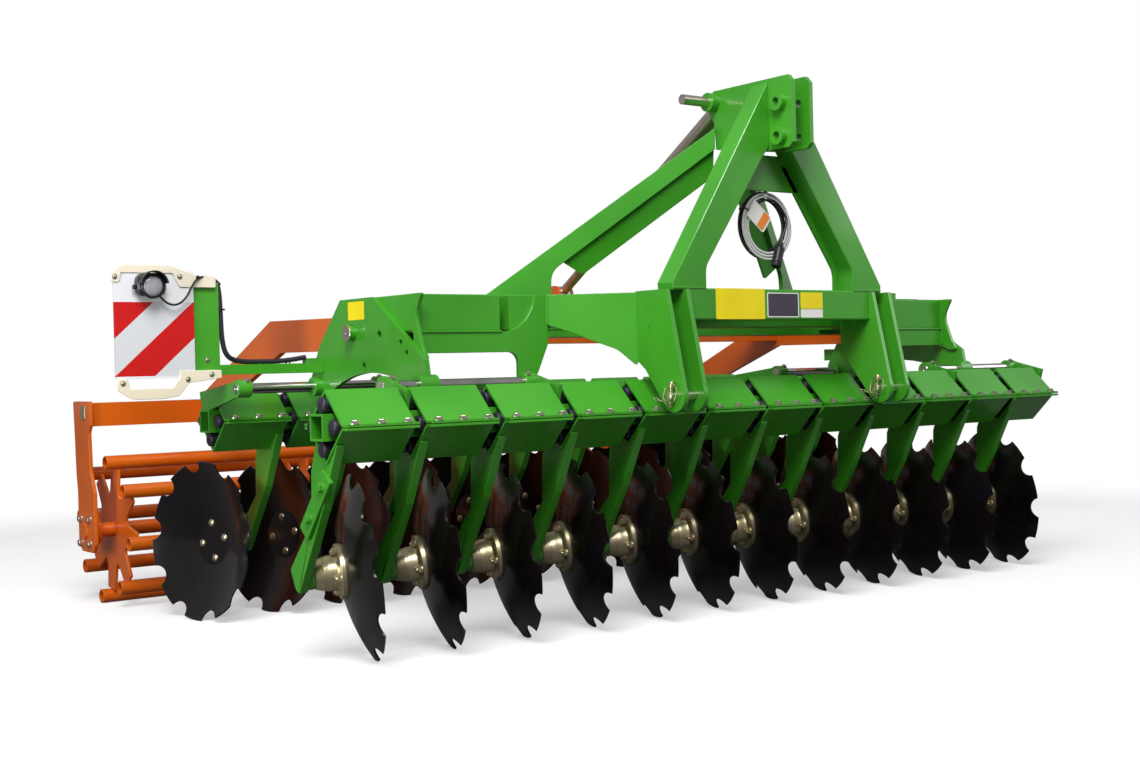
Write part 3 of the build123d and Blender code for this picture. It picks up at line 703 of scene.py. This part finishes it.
# Disc arms: flame-cut plates under folded half clamps
# Knees are (reach per lean, drop) from the beam's middle, the rear edge (inset, drop); the adjuster plate
# runs along each front arm from before its knee to after it

clampShell = dict(inner=87.5, outer=97.4, flange=113.5, low=1.0, high=8.0, length=215.0, fold=4.0)
discArm = dict(plate=15.0, inset=5.0, footRadius=38.0, toeRadius=8.0, frontTop=52.0, rearTop=60.0,
               hubReach=77.5, stub=36.0, frontKnee=(67.0, 214.0), rearKnee=(207.0, 248.0),
               rearEdge=(5.0, 118.0), bar=6.0, barWidth=25.0, seam=44.0, bead=3.2)
adjuster = dict(thickness=12.0, width=52.0, before=95.0, after=110.0, screws=(40.0, 150.0), screw=14.0)


def frontBar(x, first, last):
    # flat bar on the arm's front edge between two points (y, z)
    line = np.asarray(last) - np.asarray(first)
    length = np.linalg.norm(line)
    line /= length
    half = discArm["barWidth"] / 2
    bar = slab(rectangle(-half, -2, half, length + 2), discArm["bar"], 1.0)
    return copies(bar, (x, *first), (0, -line[1], line[0]), (0, *line))


def makeArms(row):
    # lower half clamps with their arms and axle stubs
    a, c = named(discArm), named(clampShell)
    y, middles = rowSizes[row]["y"], clampMiddles(row)
    side = 1 if row == "front" else -1
    half = [(y + c.flange, -c.low), (y + c.flange, -c.high), (y + c.outer - c.high, -c.high),
            (y, -c.outer), (y, -c.inner), (y + c.inner - c.low, -c.low)]
    right = [(reach, beamHeight + z, c.fold if index in (2, 3) else 0.0)
             for index, (reach, z) in enumerate(half)]
    left = [(2 * y - reach, z, radius) for reach, z, radius in right]
    shell = plateX([*right[:4], *left[2::-1], *left[:4:-1], *right[4:]], -c.length / 2, c.length, 0.6)

    # the foot is where the axle's line meets the arm's plane
    joint = joints[row + "_disc_01_spin"]
    axis, hub = np.asarray(joint["axis"]), inDrawing(joint["pos_m"])
    armX = middles[0] - side * (c.length / 2 - a.inset - a.plate / 2)
    start = hub - axis * a.hubReach
    foot = start - axis * (start[0] - armX) / axis[0]
    lean = (foot[1] - y) / (beamHeight - foot[2])
    wall = (c.inner + c.outer) / 2
    frontKnee, rearKnee = (np.array([y + reach * lean, beamHeight - drop])
                           for reach, drop in (a.frontKnee, a.rearKnee))
    way = foot[1:] - (frontKnee + rearKnee) / 2
    way /= np.linalg.norm(way)
    across = np.array([-way[1], way[0]]) * a.footRadius
    toe = foot[1:] - across + way * (a.footRadius - across[1]) / -way[1]
    outline = [(y - a.frontTop, beamHeight - wall + a.frontTop), tuple(frontKnee), (*toe, a.toeRadius),
               (foot[1], toe[1], 30), tuple(foot[1:] + across), tuple(rearKnee),
               (rearKnee[0] - a.rearEdge[0], beamHeight - a.rearEdge[1]),
               (y + a.rearTop, beamHeight - wall + a.rearTop), (y, beamHeight - wall)]
    plate = plateX(outline, armX - a.plate / 2, a.plate, 1.4)
    stub = roundBar(a.stub, start, foot + axis * 5)
    angle = roundAngles(40)
    ring = (a.stub + 1) * np.stack([np.cos(angle), np.sin(angle), 0 * angle], axis=1)
    bead = carried(foot + axis * 13 + ring @ turnTo(axis).T, a.bead, 6, axis, closed=True)
    seamX, seamZ = armX + side * a.plate / 2, beamHeight - c.outer - 2
    seams = [weldBead((seamX, y, seamZ), (seamX, y + turn * a.seam, seamZ + a.seam), a.bead)
             for turn in (-1, 1)]
    lower = toe - way * a.toeRadius
    top = np.array(outline[0]) - (0, 6)
    bars = [frontBar(armX, *ends) for ends in ((lower, frontKnee), (frontKnee, top))]
    arm = joined(plate, stub, bead, *bars, *seams)
    parts = [repeatedX(shell, middles), repeatedX(arm, middles - middles[0])]
    if row == "front":
        along = foot[1:] - frontKnee
        along /= np.linalg.norm(along)
        broad = np.array([-along[1], along[0]]) * adjuster["width"]
        near, far = frontKnee - along * adjuster["before"], frontKnee + along * adjuster["after"]
        x = armX - a.plate / 2 - adjuster["thickness"]
        corners = [(*corner, 6) for corner in (near, far, far + broad, near + broad)]
        screws = [np.array([x, *(near + along * step + broad / 2)]) for step in adjuster["screws"]]
        parts.append(plateX(corners, x, adjuster["thickness"]))
        parts.append(copies(boltHead(adjuster["screw"]), screws, (-1, 0, 0)))
    made = addMesh(row + "ArmsWelded", joined(*parts), greenEnamel, row + "_row")
    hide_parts(row + "_disc_arms")


for row in rowSizes:
    makeArms(row)
print("arms made")


# Front of the main frame: tubes, slanting corner tubes and plates

mainFrame = dict(top=1000.0, hitchOuter=488.5, wingStart=85.0, wingPlate=10.0, plateInner=681.0, plateY=270.0,
                 plate=12.0, cornerWidth=80.0, longX=764.0, longWidth=100.0, rearEnd=492.0, tubeHeight=106.0,
                 boxInner=847.0, reach=1150.5, arc=119.0, bandDrop=3.0, bandLow=831.0, slotRadius=32.0,
                 slotEnd=793.0, tubeFront=92.0, tubeBack=202.0, tubeEdge=3.0, gusset=12.0)


def makeFrameFront():
    f = named(mainFrame)
    low = f.top - f.tubeHeight
    start = np.array([f.hitchOuter, f.wingStart])
    way = np.array([f.plateInner + 4, f.plateY]) - start
    length = np.linalg.norm(way)
    way /= length
    back = np.array([-way[1], way[0]])
    front = start + back * f.wingPlate
    rear = front + back * f.cornerWidth
    plateBack = f.plateY + f.plate
    inner, outer = f.longX - f.longWidth / 2, f.longX + f.longWidth / 2

    def atX(point, x):
        return tuple(point + way * ((x - point[0]) / way[0]))
    plan = [atX(front, f.hitchOuter), tuple(front + way * length), (f.plateInner, plateBack),
            (outer, plateBack), (outer, f.rearEnd), (inner, f.rearEnd), atX(rear, inner),
            atX(rear, f.hitchOuter)]
    crossTube, corner, box = (plateZ(flat, low, f.tubeHeight, f.tubeEdge) for flat in (
        rectangle(-f.hitchOuter, f.tubeFront, f.hitchOuter, f.tubeBack), plan,
        rectangle(f.boxInner, plateBack, f.reach, f.rearEnd)))
    tubes = addMesh("frontTubesWelded", joined(crossTube, bothSides(corner), bothSides(box)), greenEnamel)
    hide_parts("frame_front_tube", "frame_short_tubes")

    # upright plate with the round cut above its band, end gusset and slanting wing plate
    bandTop = low - f.bandDrop
    turn = np.linspace(0, np.arcsin((f.top - bandTop) / f.arc - 1) + np.pi / 2, 12)
    cut = np.stack([f.boxInner - f.arc * np.sin(turn), bandTop + f.arc * (1 - np.cos(turn))], axis=1)
    outline = [(f.plateInner, f.top), (f.plateInner, 855, 20), (716, 778), (735, 742, 6),
               (f.slotEnd, 741, 6), (f.slotEnd, f.bandLow, f.slotRadius), (f.reach, f.bandLow),
               (f.reach, bandTop), *[tuple(point) for point in cut]]
    plate = plateY(outline, f.plateY, f.plate)
    gusset = plateX([(205, 813, 6), (228, 850, 30), (262, 938, 60), (226, f.top, 4), (plateBack, f.top),
                     (plateBack, f.bandLow + 2), (240, 813)], f.reach - f.gusset, f.gusset)
    wing = [(0, 778, 6), (60, f.bandLow, 60), (138, 861, 60), (194, 885), (length, 910), (length, f.top),
            (0, f.top)]
    wing = copies(slab(rounded(wing), f.wingPlate, 1.0), (*front, 0), (way[1], -way[0], 0))
    seamY, gussetX = f.plateY - 1, f.reach - f.gusset - 2
    seams = [weldBead((f.plateInner + 2, seamY, 912), (f.plateInner + 2, seamY, 998)),
             weldBead((f.boxInner + 4, seamY, bandTop + 1), (f.reach - 4, seamY, bandTop + 1)),
             weldBead((gussetX, seamY - 1, 836), (gussetX, seamY - 1, 990))]
    plates = addMesh("frontPlatesWelded", bothSides(joined(plate, gusset, wing, *seams)), greenEnamel)
    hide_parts("frame_front_plates")


makeFrameFront()
print("frame front made")


# Mast: two bent legs on the crossbar with a lip behind each, a web, the cable gland and two braces

mast = dict(y=-38.0, depth=60.0, low=913.0, high=1007.0, half=395.5, legDepth=70.0, legOuter=453.0,
            legInner=318.0, kneeHeight=1071.0, topInner=(84, 1398), bend=60.0, lip=22.0, lipPlate=10.0,
            web=10.0, gland=20.0, glandLow=1324.0, glandDepth=34.0)
brace = dict(start=(53.0, 200.0), end=(704.0, 606.0), foot=232.0, knee=1085.0, bend=60.0, under=1467.0,
             over=1534.0, plate=15.0, flange=72.0, flangePlate=8.0, turn=20.0)


def makeMast():
    m = named(mast)
    back = m.y + m.legDepth
    bar = plateY(rectangle(-m.half, m.low, m.half, m.high), m.y, m.depth, 4.0)
    leg = plateY([(m.legOuter, m.high + 16), (75, 1600), (45, 1645), (45, 1448), m.topInner,
                  (m.legInner, m.kneeHeight, m.bend), (m.legInner, m.high - 6),
                  (m.legOuter - 3, m.high - 6)], m.y, m.legDepth, 2.0)
    edge = [(m.legInner, m.high - m.lip), (m.legInner, m.kneeHeight, m.bend), m.topInner]
    lip = [(x - m.lip, z, *radius) for x, z, *radius in edge]
    lip = plateY(edge + lip[::-1], back - m.lipPlate, m.lipPlate)
    web = plateY([(-165, 1318), (165, 1318), (110, 1398), (65, 1430), (-65, 1430), (-110, 1398)],
                 back - m.web, m.web)
    x, half = cable["centre"][0], m.gland / 2
    gland = plateY(rectangle(x - half, m.glandLow, x + half, m.glandLow + m.gland), back,
                   m.glandDepth, 2.0)
    made = addMesh("mastWelded", joined(bar, bothSides(leg), bothSides(lip), web, gland), greenEnamel)
    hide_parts("mast_frame")


def makeBraces():
    # upright plate along each brace, with a flange folded from its lower edge
    b = named(brace)
    start = np.array(b.start)
    way = np.array(b.end) - start
    length = np.linalg.norm(way)
    way /= length
    foot = length - b.foot
    side = np.array([way[1], -way[0], 0])
    outline = [(0, b.over), (length, mainFrame["top"]), (foot, mainFrame["top"]), (foot, b.knee, b.bend),
               (0, b.under)]
    plate = copies(slab(rounded(outline), b.plate, 1.0), (*start, 0), side)
    rise = (b.under - b.knee) / foot
    near = np.array([*start, b.under])
    far = np.array([*(start + way * (foot - 40)), b.knee + 40 * rise])
    turn = np.radians(b.turn)
    reach = np.linalg.norm(far - near)
    along = (far - near) / reach
    down = np.cross(side, along)
    down *= -np.sign(down[2])
    fold = down * np.cos(turn) - side * np.sin(turn)
    strip, faces = slab(rounded([(0, -4), (reach, -4), (reach - 30, b.flange, 12), (50, b.flange, 12)]),
                        b.flangePlate)
    strip = strip @ np.stack([along, fold, np.cross(along, fold)]) + near
    made = addMesh("mastBracesWelded", bothSides(joined(plate, (strip, faces))), greenEnamel)
    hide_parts("mast_braces")


makeMast()
makeBraces()
print("mast made")


# Cage roller: eight tubes on star-shaped spiders, and its end plates with bearings

cage = dict(y=1801.0, circle=236.0, tube=24.0, wall=5.0, tubes=8, firstAngle=98.0, half=1490.0, spiders=5,
            inset=40.0, plate=10.0, core=104.0, coreRadius=18.0, armWidth=62.0, shaft=25.0, shaftHalf=1558.0,
            barHalf=1540.0, barLow=620.0, barTop=706.0, endPlate=12.0, bearing=50.0, bearingDepth=30.0,
            bolt=13.0, boltReach=42.0)


def makeRoller():
    c = named(cage)
    y, z = c.y, inDrawing(joints["roller_spin"]["pos_m"])[2]
    angle = np.radians(c.firstAngle + np.arange(c.tubes) * 360 / c.tubes)
    radius, bore = c.tube, c.tube - c.wall
    pipe = turned([(-c.half, bore), (-c.half, radius - 1), (1 - c.half, radius), (c.half - 1, radius),
                   (c.half, radius - 1), (c.half, bore)], 24, closed=True)
    places = np.stack([0 * angle, y + c.circle * np.cos(angle), z + c.circle * np.sin(angle)], axis=1)

    # spider: an arm of even width to each tube, and a rounded corner between two arms
    reach = np.sqrt((c.circle - radius + 2.5) ** 2 - c.armWidth ** 2 / 4)
    halfArm, between = c.armWidth / 2, np.pi / c.tubes
    outline = []
    for turn in angle:
        for along, across, more, corner in ((reach, -halfArm, 0, 2), (reach, halfArm, 0, 2),
                                            (c.core, 0, between, c.coreRadius)):
            spin = turn + more
            outline.append((y + along * np.cos(spin) - across * np.sin(spin),
                            z + along * np.sin(spin) + across * np.cos(spin), corner))
    spider = plateX(outline, -c.plate / 2, c.plate)
    spiders = repeatedX(spider, np.linspace(-1, 1, c.spiders) * (c.half - c.inset))
    shaft = roundBar(c.shaft, (-c.shaftHalf, y, z), (c.shaftHalf, y, z))
    whole = joined(copies(pipe, places, (1, 0, 0)), spiders, shaft)
    made = addMesh("cageRollerWelded", whole, orangeEnamel, "roller")
    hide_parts("cage_roller")

    low, knee = z - 70, c.barLow
    right = plateX([(y - 71, c.barTop, 8), (y + 90, c.barTop, 8), (y + 84, knee, 20),
                    (y + 74, low + 262, 20), (y + 64, low + 205, 20), (y + 64, low + 30, 8), (y + 34, low, 8),
                    (y - 70, low, 8), (y - 92, low + 30, 8), (y - 92, low + 205, 20), (y - 60, low + 275, 20),
                    (y - 52, knee - 20, 20), (y - 71, knee + 5, 10)], c.barHalf, c.endPlate)
    housing = roundBar(c.bearing, (c.barHalf - c.bearingDepth, y, z), (c.barHalf, y, z))
    plates = addMesh("rollerEndPlates", bothSides(joined(right, housing)), orangeEnamel, "roller_frame")
    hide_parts("roller_end_plates")

    # four flange bolts round each bearing and the yellow square cap in the bar's left end
    outside, reach = c.barHalf + c.endPlate, c.boltReach
    ends = [(side * outside, y + dy, z + dz) for side in (-1, 1)
            for dy, dz in rectangle(-reach, -reach, reach, reach)]
    ways = [(side, 0, 0) for side in (-1, 1) for _ in range(4)]
    addMesh("bearingBolts", copies(boltHead(c.bolt), ends, ways), clearZinc, "roller_frame")
    cap = copies(slab(roundedOutline(46, 46, 4), 4, 1.0), (-outside, y - 10, 668), (-1, 0, 0))
    addMesh("barEndCap", cap, yellowZinc, "roller_frame")


makeRoller()
print("roller made")

# Roller frame pivots: plated pin faces outside the side plates
pivotPin = dict(y=586.0, z=898.0, outer=1188.0, radius=25.0)


def makePivotCaps():
    radius = pivotPin["radius"]
    cap = turned([(-0.2, 0), (-0.2, radius), (2.2, radius), (3.4, radius - 1.4), (3.4, 4), (1.6, 2),
                  (1.6, 0)], 36)
    places = [(side * pivotPin["outer"], pivotPin["y"], pivotPin["z"]) for side in (-1, 1)]
    addMesh("pivotCaps", copies(cap, places, [(-1, 0, 0), (1, 0, 0)]), clearZinc)


makePivotCaps()


# Warning board: cream brackets, position lamp with its lead, and the conduit beside the post

board = dict(left=-1792.0, width=240.0, front=842.0, bracket=3.0, spacer=8.0, postLeft=-1562.0,
             postFront=850.0, lampX=-1690.0, lampZ=1047.0, lampDepth=34.0, hoodOuter=42.0, hoodInner=38.5,
             hoodDepth=27.0, leadRadius=3.2, conduitRadius=8.0, conduitGroove=1.3, conduitStep=2.2)


def makeBoardBrackets():
    b = named(board)
    left, post = b.left, b.postLeft
    upper = [(left - 8, 1056, 10), (left + 16, 1056, 8), (left + 22, 1084), (left + 176, 1084),
             (left + 196, 1044, 10), (post + 80, 1044, 4), (post + 80, 1078, 4), (post + 24, 1078),
             (left + 168, 1107, 60), (left + 20, 1107, 60), (left - 8, 1080, 10)]
    lower = [(left + 2, 779, 10), (left + 32, 779, 6), (left + 42, 750), (post - 63, 750), (post - 38, 778),
             (post - 38, 800), (post + 92, 800, 4), (post + 92, 776), (post - 10, 764, 20),
             (post - 42, 726, 20), (post - 90, 719, 40), (left + 45, 719, 60), (left + 2, 748, 20)]
    front = b.front - b.bracket
    sheets = [plateY(corners, front, b.bracket) for corners in (upper, lower)]
    spacers = [copies(slab(rectangle(left + b.width, low, post + 80, high), b.spacer),
                      (0, b.postFront, 0), (0, -1, 0)) for low, high in ((1044, 1078), (786, 800))]
    addMesh("boardBrackets", joined(*sheets, *spacers), creamEnamel)
    dome = turned([(0, 0), (0, 8), (1.2, 8), (1.2, 5.4), (3.4, 4.6), (4.4, 2.6), (4.6, 0)], 16)
    screws = [(left + 2, 1072), (left + 198, 1075), (left + 19, 766), (post - 15, 774), (post + 60, 787)]
    rivets = [(post + 7, 845), (post + 7, 905), (post + 7, 965), (post + 7, 1020), (post + 52, 830)]
    for name, y, heads in (("boardScrews", front, screws), ("postRivets", b.postFront, rivets)):
        addMesh(name, copies(dome, [(x, y, z) for x, z in heads], (0, -1, 0)), clearZinc)


def makeLamp():
    # rounded black housing with a hood over a clear round lens
    b = named(board)
    x, z, forward = b.lampX, b.lampZ, (0, -1, 0)
    face = b.front - b.lampDepth
    body = copies(slab(roundedOutline(86, 66, 24), b.lampDepth, 6), (x, b.front, z + 2), forward)
    ring = turned([(-3, 27), (-3, 36), (5, 36), (7, 34), (7, 31.5), (2, 30.5), (2, 27)], 40, closed=True)
    ring = copies(ring, (x, face, z - 3), forward)
    turn = np.linspace(np.radians(8), np.radians(172), 26)
    over = np.stack([np.cos(turn), np.sin(turn)], axis=1)
    arch = np.concatenate([b.hoodOuter * over, b.hoodInner * over[::-1]])
    hood = copies(slab(arch, b.hoodDepth, 1.0), (x, face + 4, z - 1), forward)
    knob = roundBar(7, (x - 43, b.front - 16, z - 5), (x - 52, b.front - 16, z - 5), 20)
    housing = addMesh("lampHousing", joined(body, ring, hood, knob), blackPlastic)
    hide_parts("board_lamp")
    bulge = [(0.4, 0), (0.4, 30.6), (3, 30), (7, 26), (9.5, 18), (10.6, 9), (10.9, 0)]
    addMesh("lampLens", copies(turned(bulge, 40), (x, face, z - 3), forward), lensPlastic)


def makeLeads():
    # lead from the lamp over the post's top, and a corrugated conduit down to the carrier and along it
    x, z, radius = board["lampX"], board["lampZ"], board["conduitRadius"]
    lead = [(x + 28, 826, z - 30), (x + 45, 822, z - 52), (x + 78, 822, z - 58), (x + 108, 824, z - 36),
            (x + 128, 826, z + 2), (x + 150, 834, z + 26), (x + 180, 846, z + 30), (x + 214, 858, z + 26),
            (x + 232, 862, z + 8)]
    addMesh("lampLead", carried(smoothPath(lead, 6), board["leadRadius"], 10), blackPlastic)
    conduit = [(x + 222, 863, 1062), (x + 228, 860, 1030), (x + 229, 859, 960), (x + 232, 859, 880),
               (x + 247, 860, 838), (x + 284, 864, 824), (x + 350, 870, 822), (x + 450, 870, 823),
               (x + 512, 868, 834)]
    way = smoothPath(conduit, board["conduitStep"])
    ripple = radius - board["conduitGroove"] * (np.arange(len(way)) % 3 == 0)
    addMesh("leadConduit", carried(way, ripple, 12), rubber, sharp=80)
    ties = []
    for place, normal, reach in (
            ((x + 150, 834, z + 26), (1, 0.3, 0), 6.0), ((x + 229, 859, 980), (0, 0, 1), 14.0),
            ((x + 350, 866, 810), (1, 0, 0), 14.0), ((x + 450, 866, 811), (1, 0, 0), 14.0)):
        band = turned([(-2.4, reach - 1.2), (-2.4, reach), (2.4, reach), (2.4, reach - 1.2)], 24, closed=True)
        ties.append(copies(band, place, normal))
    addMesh("cableTies", joined(*ties), blackPlastic)


makeBoardBrackets()
makeLamp()
makeLeads()
print("board fittings made")


# Blank sheets on the crossbar: finish, thickness, chamfer, corner radius and (x, z, width, height)

sheetRear = -37.8  # 0.2 mm inside the crossbar's front face
sheets = {"yellowSheets": (yellowVinyl, 0.5, 0.15, 3, [(-181, 961.5, 204, 93), (126.5, 973.5, 99, 51)]),
          "darkPlate": (darkVinyl, 0.5, 0.15, 3, [(0, 959, 130, 70)]),
          "whiteSheets": (whiteVinyl, 0.5, 0.15, 3, [(126.5, 933, 99, 26)]),
          "plateBorder": (whiteVinyl, 0.4, 0.1, 4, [(0, 959, 138, 76)])}
for name, (material, thickness, edge, radius, places) in sheets.items():
    parts = [copies(slab(roundedOutline(width, height, radius), thickness, edge), (x, sheetRear, z),
                    (0, -1, 0)) for x, z, width, height in places]
    addMesh(name, joined(*parts), material)
sideSheet = slab(roundedOutline(95, 54, 3), 0.5, 0.15)
addMesh("sideSheet", copies(sideSheet, (-1165.4, 566, 964), (-1, 0, 0)), yellowVinyl)


# Weld beads on the mast and hitch: ends of each on the right side, repeated on the left

seamEnds = [((395.5, -39, 915), (395.5, -39, 1005)), ((322, -37, 1008), (450, -37, 1008)),
            ((489.5, 30, 896), (489.5, 30, 996))]
seams = [weldBead(first * np.array([side, 1, 1]), last * np.array([side, 1, 1]))
         for first, last in seamEnds for side in (-1, 1)]
addMesh("mastWelds", joined(*seams), greenEnamel)
print("stickers and welds made")

# Slide rods: bright turned ends in the bracket heads, set screws on the bosses
slides = [("front", 200.0, -1295.0, -795.0), ("front", 200.0, 955.0, 1455.0),
          ("rear", 809.0, -1435.0, -935.0), ("rear", 809.0, 815.0, 1315.0)]  # row, y, first and last bracket
slideRod = dict(height=742.0, past=6.0, screw=9.0, screwInside=24.0, boss=27.0, screwWay=(0, -0.5, 0.866))


def makeRodEnds():
    s = named(slideRod)
    end = turned([(0, 0), (0, 16.2), (1.3, 16.2), (2.4, 14.8), (2.4, 3.2), (0.8, 1.2), (0.8, 0)], 32)
    _, dy, dz = s.boss * np.array(s.screwWay)
    for row in rowSizes:
        ends, axes, screws = [], [], []
        for owner, y, first, last in slides:
            if owner == row:
                ends += [(first - s.past, y, s.height), (last + s.past, y, s.height)]
                axes += [(-1, 0, 0), (1, 0, 0)]
                screws += [(x, y + dy, s.height + dz) for x in (first + s.screwInside, last - s.screwInside)]
        addMesh(row + "RodEnds", copies(end, ends, axes), brightBar, row + "_row")
        addMesh(row + "SetScrews", copies(boltHead(s.screw), screws, s.screwWay), clearZinc, row + "_row")


makeRodEnds()

# Lower hitch pins: collar on one end, linchpin with its spring ring and a short chain on the other
hitchPin = dict(y=-72.0, z=691.0, spread=442.0, outer=46.5, end=66.5, ringWire=2.0, links=6, linkWire=1.5,
                linkHalf=4.2, linkLength=8.5)


def makeLinchpins():
    p = named(hitchPin)
    y, z = p.y, p.z
    collar = turned([(0, 0), (0, 23), (6, 23), (8, 21), (8, 15), (20, 14.4), (21, 13), (21, 0)], 28)
    cap = turned([(0, 0), (0, 15.2), (2, 15.2), (3.2, 13.6), (3.2, 0)], 28)
    shank = turned([(-34, 0), (-34, 3.4), (-30, 4.6), (24, 4.6), (26, 7.5), (40, 7.5), (43, 5.5),
                    (43, 0)], 16)
    angle, loop = roundAngles(36), roundAngles(20)
    parts = []
    for centre in (-p.spread, p.spread):
        x = centre - p.outer - 11
        parts.append(copies(collar, (centre + p.outer, y, z), (1, 0, 0)))
        parts.append(copies(cap, (centre - p.end, y, z), (-1, 0, 0)))
        parts.append(copies(shank, (x, y, z), (0, -0.12, 0.993)))
        ring = np.stack([7 * np.cos(angle), 27 * np.sin(angle), 30 * np.cos(angle)], axis=1)
        ring = ring + (x - 6, y - 4, z + 6)
        parts.append(carried(ring, p.ringWire, 8, (1, 0, 0), closed=True))
        for link in range(p.links):  # every second link of the chain stands upright
            middle = np.array([x - 8 + 3 * np.sin(link), y + 6 + 11 * link, z - 4 - 8 * np.sin(link * 0.62)])
            broad = p.linkHalf * np.sin(loop)
            flat = np.stack([broad * (link % 2), p.linkLength * np.cos(loop), broad * (1 - link % 2)], axis=1)
            turn = (0, 0, 1) if link % 2 else (1, 0, 0)
            parts.append(carried(middle + flat, p.linkWire, 6, turn, closed=True))
    addMesh("hitchLinchpins", joined(*parts), yellowZinc, sharp=45)


makeLinchpins()
print("rod ends and linchpins made")


# Studio: floor and lamps in metres and watts; to the camera the floor turns white between two distances

studio = dict(floorSide=60.0, floor="#F8F8F8", bounce="#6C6C6C", haze=0.4, whiteFrom=2.6, whiteTo=5.0,
              world=0.3)
lamps = dict(keyLight=dict(place=(-3.2, -3.6, 5.2), power=400.0, size=3.0),
             stripLight=dict(place=(-4.3, -1.0, 0.75), aim=(-1.2, 0.1, 0.35), power=45.0, size=0.9),
             fillLight=dict(place=(4.5, -3.0, 3.0), power=60.0, size=3.0))


def makeFloor():
    # pale floor that keeps the shadow near the machine and fades to the white background further off
    half = studio["floorSide"] / 2
    floor = bpy.data.meshes.new("floor")
    floor.from_pydata([(x, y, 0) for x, y in rectangle(-half, -half, half, half)], [], [(0, 1, 2, 3)])
    ground = bpy.data.objects.new("floor", floor)
    bpy.context.scene.collection.objects.link(ground)
    material, tree = startMaterial("paleFloor")
    direct = addNode(tree, "LightPath").outputs["Is Camera Ray"]
    tone = addNode(tree, "Mix", {0: direct, 6: linear(studio["bounce"]), 7: linear(studio["floor"])},
                   data_type="RGBA")
    diffuse = addNode(tree, "BsdfDiffuse", {"Color": tone.outputs[2], "Roughness": 0.5})
    white = addNode(tree, "Emission", {"Color": linear("#FFFFFF"), "Strength": 1.0})
    place = addNode(tree, "TexCoord").outputs["Object"]
    away = addNode(tree, "VectorMath", {0: place}, operation="LENGTH").outputs["Value"]
    ends = {"Value": away, "From Min": studio["whiteFrom"], "From Max": studio["whiteTo"]}
    fade = addNode(tree, "MapRange", ends, interpolation_type="SMOOTHSTEP")
    fade = addNode(tree, "Math", {0: fade.outputs["Result"], 1: studio["haze"]}, operation="MAXIMUM")
    share = addNode(tree, "Math", {0: fade.outputs[0], 1: direct}, operation="MULTIPLY")
    mixed = addNode(tree, "MixShader", {0: share.outputs[0], 1: diffuse.outputs[0], 2: white.outputs[0]})
    addNode(tree, "OutputMaterial", {"Surface": mixed.outputs[0]})
    floor.materials.append(material)


def makeWorld():
    # even light at a low strength, white where the camera or glass looks at it
    world = bpy.data.worlds.new("studio")
    bpy.context.scene.world = world
    world.use_nodes = True
    tree = world.node_tree
    tree.nodes.clear()
    path = addNode(tree, "LightPath").outputs
    rays = {0: path["Is Camera Ray"], 1: path["Is Transmission Ray"]}
    seen = addNode(tree, "Math", rays, operation="MAXIMUM")
    soft, white = (addNode(tree, "Background", {"Color": linear("#FFFFFF"), "Strength": strength})
                   for strength in (studio["world"], 1.0))
    mixed = addNode(tree, "MixShader", {0: seen.outputs[0], 1: soft.outputs[0], 2: white.outputs[0]})
    addNode(tree, "OutputWorld", {"Surface": mixed.outputs[0]})


def addLamp(name, place, power, size, aim=(cadLow + cadHigh) / 2):
    lamp = bpy.data.lights.new(name, "AREA")
    lamp.energy = power
    lamp.size = size
    item = bpy.data.objects.new(name, lamp)
    bpy.context.scene.collection.objects.link(item)
    item.location = place
    item.rotation_mode = "QUATERNION"
    item.rotation_quaternion = (Vector(aim) - Vector(place)).to_track_quat("-Z", "Y")


makeFloor()
makeWorld()
for name, lamp in lamps.items():
    addLamp(name, **lamp)
bpy.context.scene.view_settings.view_transform = "Standard"
print("studio ready")
